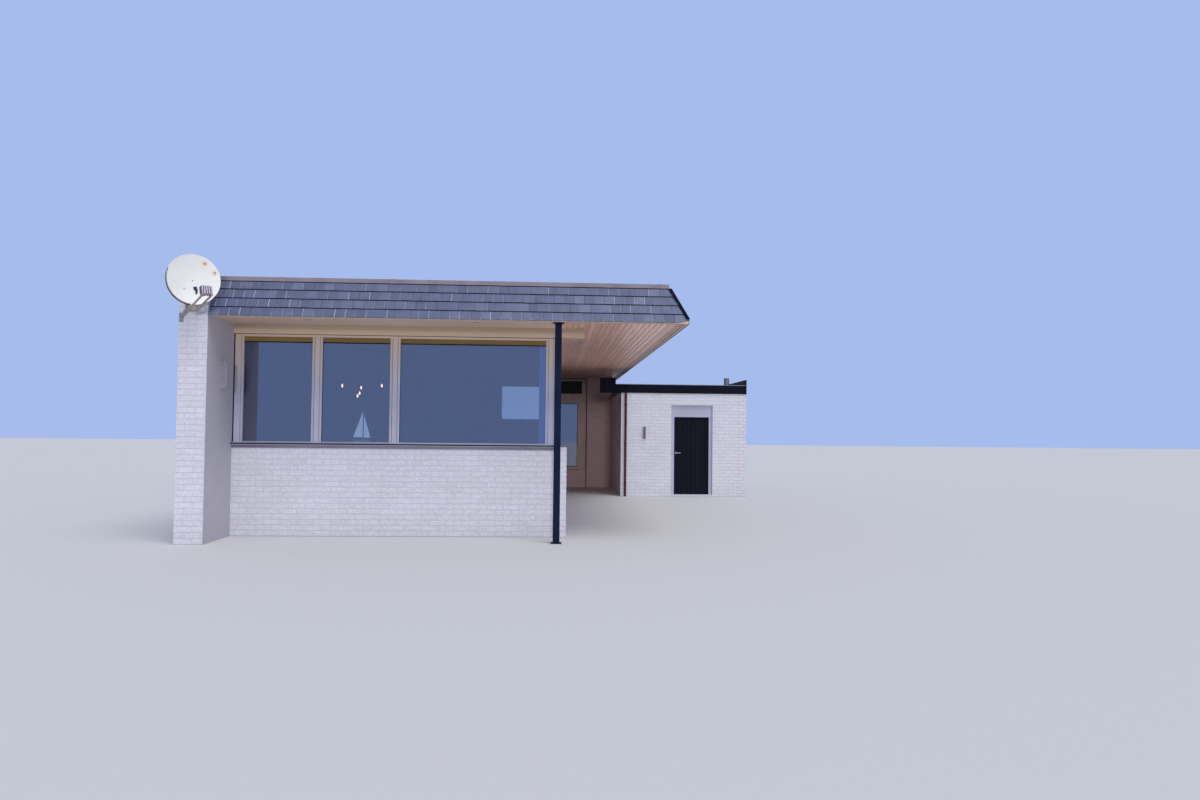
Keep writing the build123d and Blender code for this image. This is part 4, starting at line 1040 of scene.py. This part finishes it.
# From the left round to the foot the bead is rust brown too, partly rust and partly painted
# shade. A section has four faces.
rim.paints[4 * RUST_FROM:4 * RUST_TO] = [1] * 4 * (RUST_TO - RUST_FROM)

dish_paint = dish_finish([(on_dish(0.151, 0.228), 0.046), (on_dish(0.285, 0.115), 0.044)])
rim.make("dish_rim", "dish_paint", dish_paint, rust_and_rim_shade)
paint_nodes("dish_reflector", dish_paint)

BOLT_R, BOLT_SUNK, BOLT_HIGH = 0.007, 0.001, 0.005
bolts = Gatherer()
for u, v in ((0.151, 0.228), (0.292, 0.121), (0.007, 0.011), (-0.106, -0.115)):
    turns = [k * math.pi / 3 for k in range(6)]
    ring = [on_dish(u + BOLT_R * math.cos(a), v + BOLT_R * math.sin(a), -BOLT_SUNK) for a in turns]
    bolts.push(ring, beam * BOLT_HIGH)
bolts.make("dish_bolts", "dish_metal", rust_and_rim_shade)

# A bent dark blue plate below the middle
PLATE_T = 0.014
bent_plate_line = [(0.016, -0.078), (0.058, -0.069), (0.074, -0.116), (0.067, -0.168), (0.046, -0.167),
             (0.045, -0.125), (0.024, -0.106)]
bent_plate = Gatherer()
bent_plate.push([on_dish(u, v) for u, v in bent_plate_line], beam * PLATE_T)
bent_plate.make("dish_bent_plate", "dish_metal", dark_blue_finish, bevel=EASED)

# %% Ribbed feed housing
FEED_W, FEED_H, FEED_D, RIB_OUT, RIB_T, MARGIN, RIBS = 0.145, 0.110, 0.070, 0.004, 0.016, 0.012, 5
horn = vertex + beam * FOCUS
rib_high = FEED_H / 2 + RIB_OUT
ribs = Gatherer()
for k in range(RIBS):
    middle = -FEED_W / 2 + MARGIN + k * (FEED_W - 2 * MARGIN) / (RIBS - 1)
    left, right = middle - RIB_T / 2, middle + RIB_T / 2
    corners = [(left, -rib_high), (right, -rib_high), (right, rib_high), (left, rib_high)]
    ribs.push([horn + across * a + steep * b - beam * RIB_OUT for a, b in corners],
              beam * (FEED_D + 2 * RIB_OUT), 0.4)
ribs.make("feed_ribs", "feed_plastic", feed_shell, bevel=EASED)
# Painted shade: the housing between the ribs is a darker copy of the ribs' grey plastic
paint_nodes("dish_feed", feed_body_painted_shade)
paint_nodes("dish_bracket", arm_coat)
paint_nodes("dish_mast", mast_coat)

# %% [markdown]
# ## What shows through the window
# Behind the middle light hangs a cluster of five filament bulbs. Slim rigid rods carry them
# from a ceiling rose. A small model boat with two white sails stands on the inner sill.

# %% Pendant cluster
glow = finish_of("lit_filament_bulb", {"Base Color": "#FFC98C", "Roughness": 0.2,
                                       "Emission Color": "#FFB884", "Emission Strength": 4.2})[0]


def turned(pieces, foot, direction, profile, paint=0, sides=16):
    """A turned solid on a line. The profile lists (distance along the line, radius)."""
    foot, direction = Vector(foot), Vector(direction).normalized()
    first = direction.orthogonal().normalized()
    second = direction.cross(first)
    turns = [2 * math.pi * k / sides for k in range(sides)]
    spokes = [first * math.cos(a) + second * math.sin(a) for a in turns]
    pieces.sweep([[foot + direction * d + spoke * r for spoke in spokes] for d, r in profile], paint)


BULB = [(0.0, 0.009), (0.012, 0.012), (0.028, 0.016), (0.044, 0.016), (0.056, 0.011), (0.062, 0.004)]
BULBS = ((-1.323, 2.401), (-0.981, 2.368), (-1.005, 2.267), (-1.044, 2.215), (-0.605, 2.410))
HOLDER = [(0.0, 0.008), (0.01, 0.018), (0.055, 0.018)]
CEILING_ROSE = [(0.0, 0.06), (0.03, 0.06), (0.045, 0.02)]
ROD_R, ROD_TOP, ROD_END, HOLDER_UP, BULB_DOWN = 0.003, 0.04, 0.10, 0.01, 0.045
rose = Vector((-1.018, -4.50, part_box("roof_deck")[0].z))
pendant = Gatherer()
turned(pendant, rose, -UP, CEILING_ROSE)
rod_top = rose - UP * ROD_TOP
for x, z in BULBS:
    end = Vector((x, rose.y, z + ROD_END))
    turned(pendant, rod_top, end - rod_top, [(0.0, ROD_R), ((end - rod_top).length, ROD_R)], sides=8)
    turned(pendant, end + UP * HOLDER_UP, -UP, HOLDER)
    turned(pendant, end - UP * BULB_DOWN, -UP, BULB, 1)
pendant.make("pendant_cluster", "lamp_grey", black_board_and_shade, glow)

# %% Model boat on the inner sill
berth = Vector((-0.405, frame_high.y + 0.07, sill_top))
deck_line = [(-0.15, 0.0), (-0.08, 0.032), (0.06, 0.032), (0.16, 0.0), (0.06, -0.032), (-0.08, -0.032)]
keel_line = [(-0.10, 0.0), (-0.06, 0.012), (0.05, 0.012), (0.11, 0.0), (0.05, -0.012), (-0.06, -0.012)]
boat = Gatherer()
boat.prism([berth + Vector((a, b, 0.020)) for a, b in keel_line],
           [berth + Vector((a, b, 0.055)) for a, b in deck_line])
for x in (-0.05, 0.05):
    boat.box(berth + Vector((x - 0.006, -0.03, 0)), berth + Vector((x + 0.006, 0.03, 0.026)))
turned(boat, berth + Vector((0.015, 0, 0.05)), UP, [(0.0, 0.004), (0.44, 0.003)], sides=8)
CLOTH = 0.003
MAIN_SAIL = ((0.008, 0.095), (-0.135, 0.095), (0.008, 0.490))
FORE_SAIL = ((0.026, 0.090), (0.128, 0.090), (0.026, 0.440))
for sail in (MAIN_SAIL, FORE_SAIL):
    boat.push([berth + Vector((a, -CLOTH / 2, b)) for a, b in sail], BACK * CLOTH, 0.8, 1)
boat.make("model_boat", "painted_frame", hull_paint, sail_cloth)

# %% [markdown]
# ## Floor, backdrop and light
# The house stands on a plain pale floor under soft studio light: one broad lamp high in front,
# a weak one from the front that reaches under the roof, and an even, slightly blue world.
# Only the camera, mirrors and glass see the pale backdrop, so it adds no light to the house.

# %% Floor, world and lamps
REACH, FLOOR_DOWN = 90, 0.002
corners = [(-REACH, -REACH, 0), (REACH, -REACH, 0), (REACH, REACH, 0), (-REACH, REACH, 0)]
ground_mesh = bpy.data.meshes.new("studio_floor")
ground_mesh.from_pydata(corners, [], [(0, 1, 2, 3)])
ground_mesh.materials.append(finish_of("pale_studio_floor", {"Base Color": "#D6D6D6", "Roughness": 0.9})[0])
floor = bpy.data.objects.new("studio_floor", ground_mesh)
scene.collection.objects.link(floor)
floor.location.z = -FLOOR_DOWN
floor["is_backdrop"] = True

world = bpy.data.worlds.new("studio")
scene.world = world
world.use_nodes = True
world.node_tree.nodes.clear()
new = partial(add, world.node_tree)
path = new("LightPath")
seen = path.outputs["Is Camera Ray"]
for ray in ("Is Glossy Ray", "Is Transmission Ray"):
    seen = new("Math", [seen, path.outputs[ray]], operation="MAXIMUM")
even = new("Background", {"Color": "#D8E0F6", "Strength": 0.62})
backdrop = new("Background", {"Color": "#A6BCEC", "Strength": 1.0})
new("OutputWorld", [new("MixShader", [seen, even, backdrop])])


def lamp(name, towards_lamp, strength, angle, colour):
    light = bpy.data.lights.new(name, "SUN")
    light.energy, light.angle = strength, math.radians(angle)
    light.color = linear(colour)[:3]
    holder = bpy.data.objects.new(name, light)
    holder.rotation_euler = Vector(towards_lamp).to_track_quat("Z", "Y").to_euler()
    scene.collection.objects.link(holder)
    return holder


lamp("key_from_above", (0.30, -0.50, 1.0), 1.45, 35, "#FFFDFA")
fill = lamp("fill_from_the_front", (0.03, -1.0, 0.055), 0.75, 6, "#FFFAF6")
# The panes would mirror the fill straight at the camera
fill.visible_glossy = fill.visible_transmission = False
scene.view_settings.view_transform = "Standard"
print("lights:", [light.name for light in bpy.data.lights])

# %% [markdown]
# ## Check the size
# The dressed house must stay inside the solid model's box. Both boxes are kept side by side.

dressed_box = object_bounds()
grown = [max(a - b, d - c, 0) for a, b, c, d in zip(cad_box[0], dressed_box[0], cad_box[1], dressed_box[1])]
print("dressed box grows by", [round(g, 4) for g in grown])
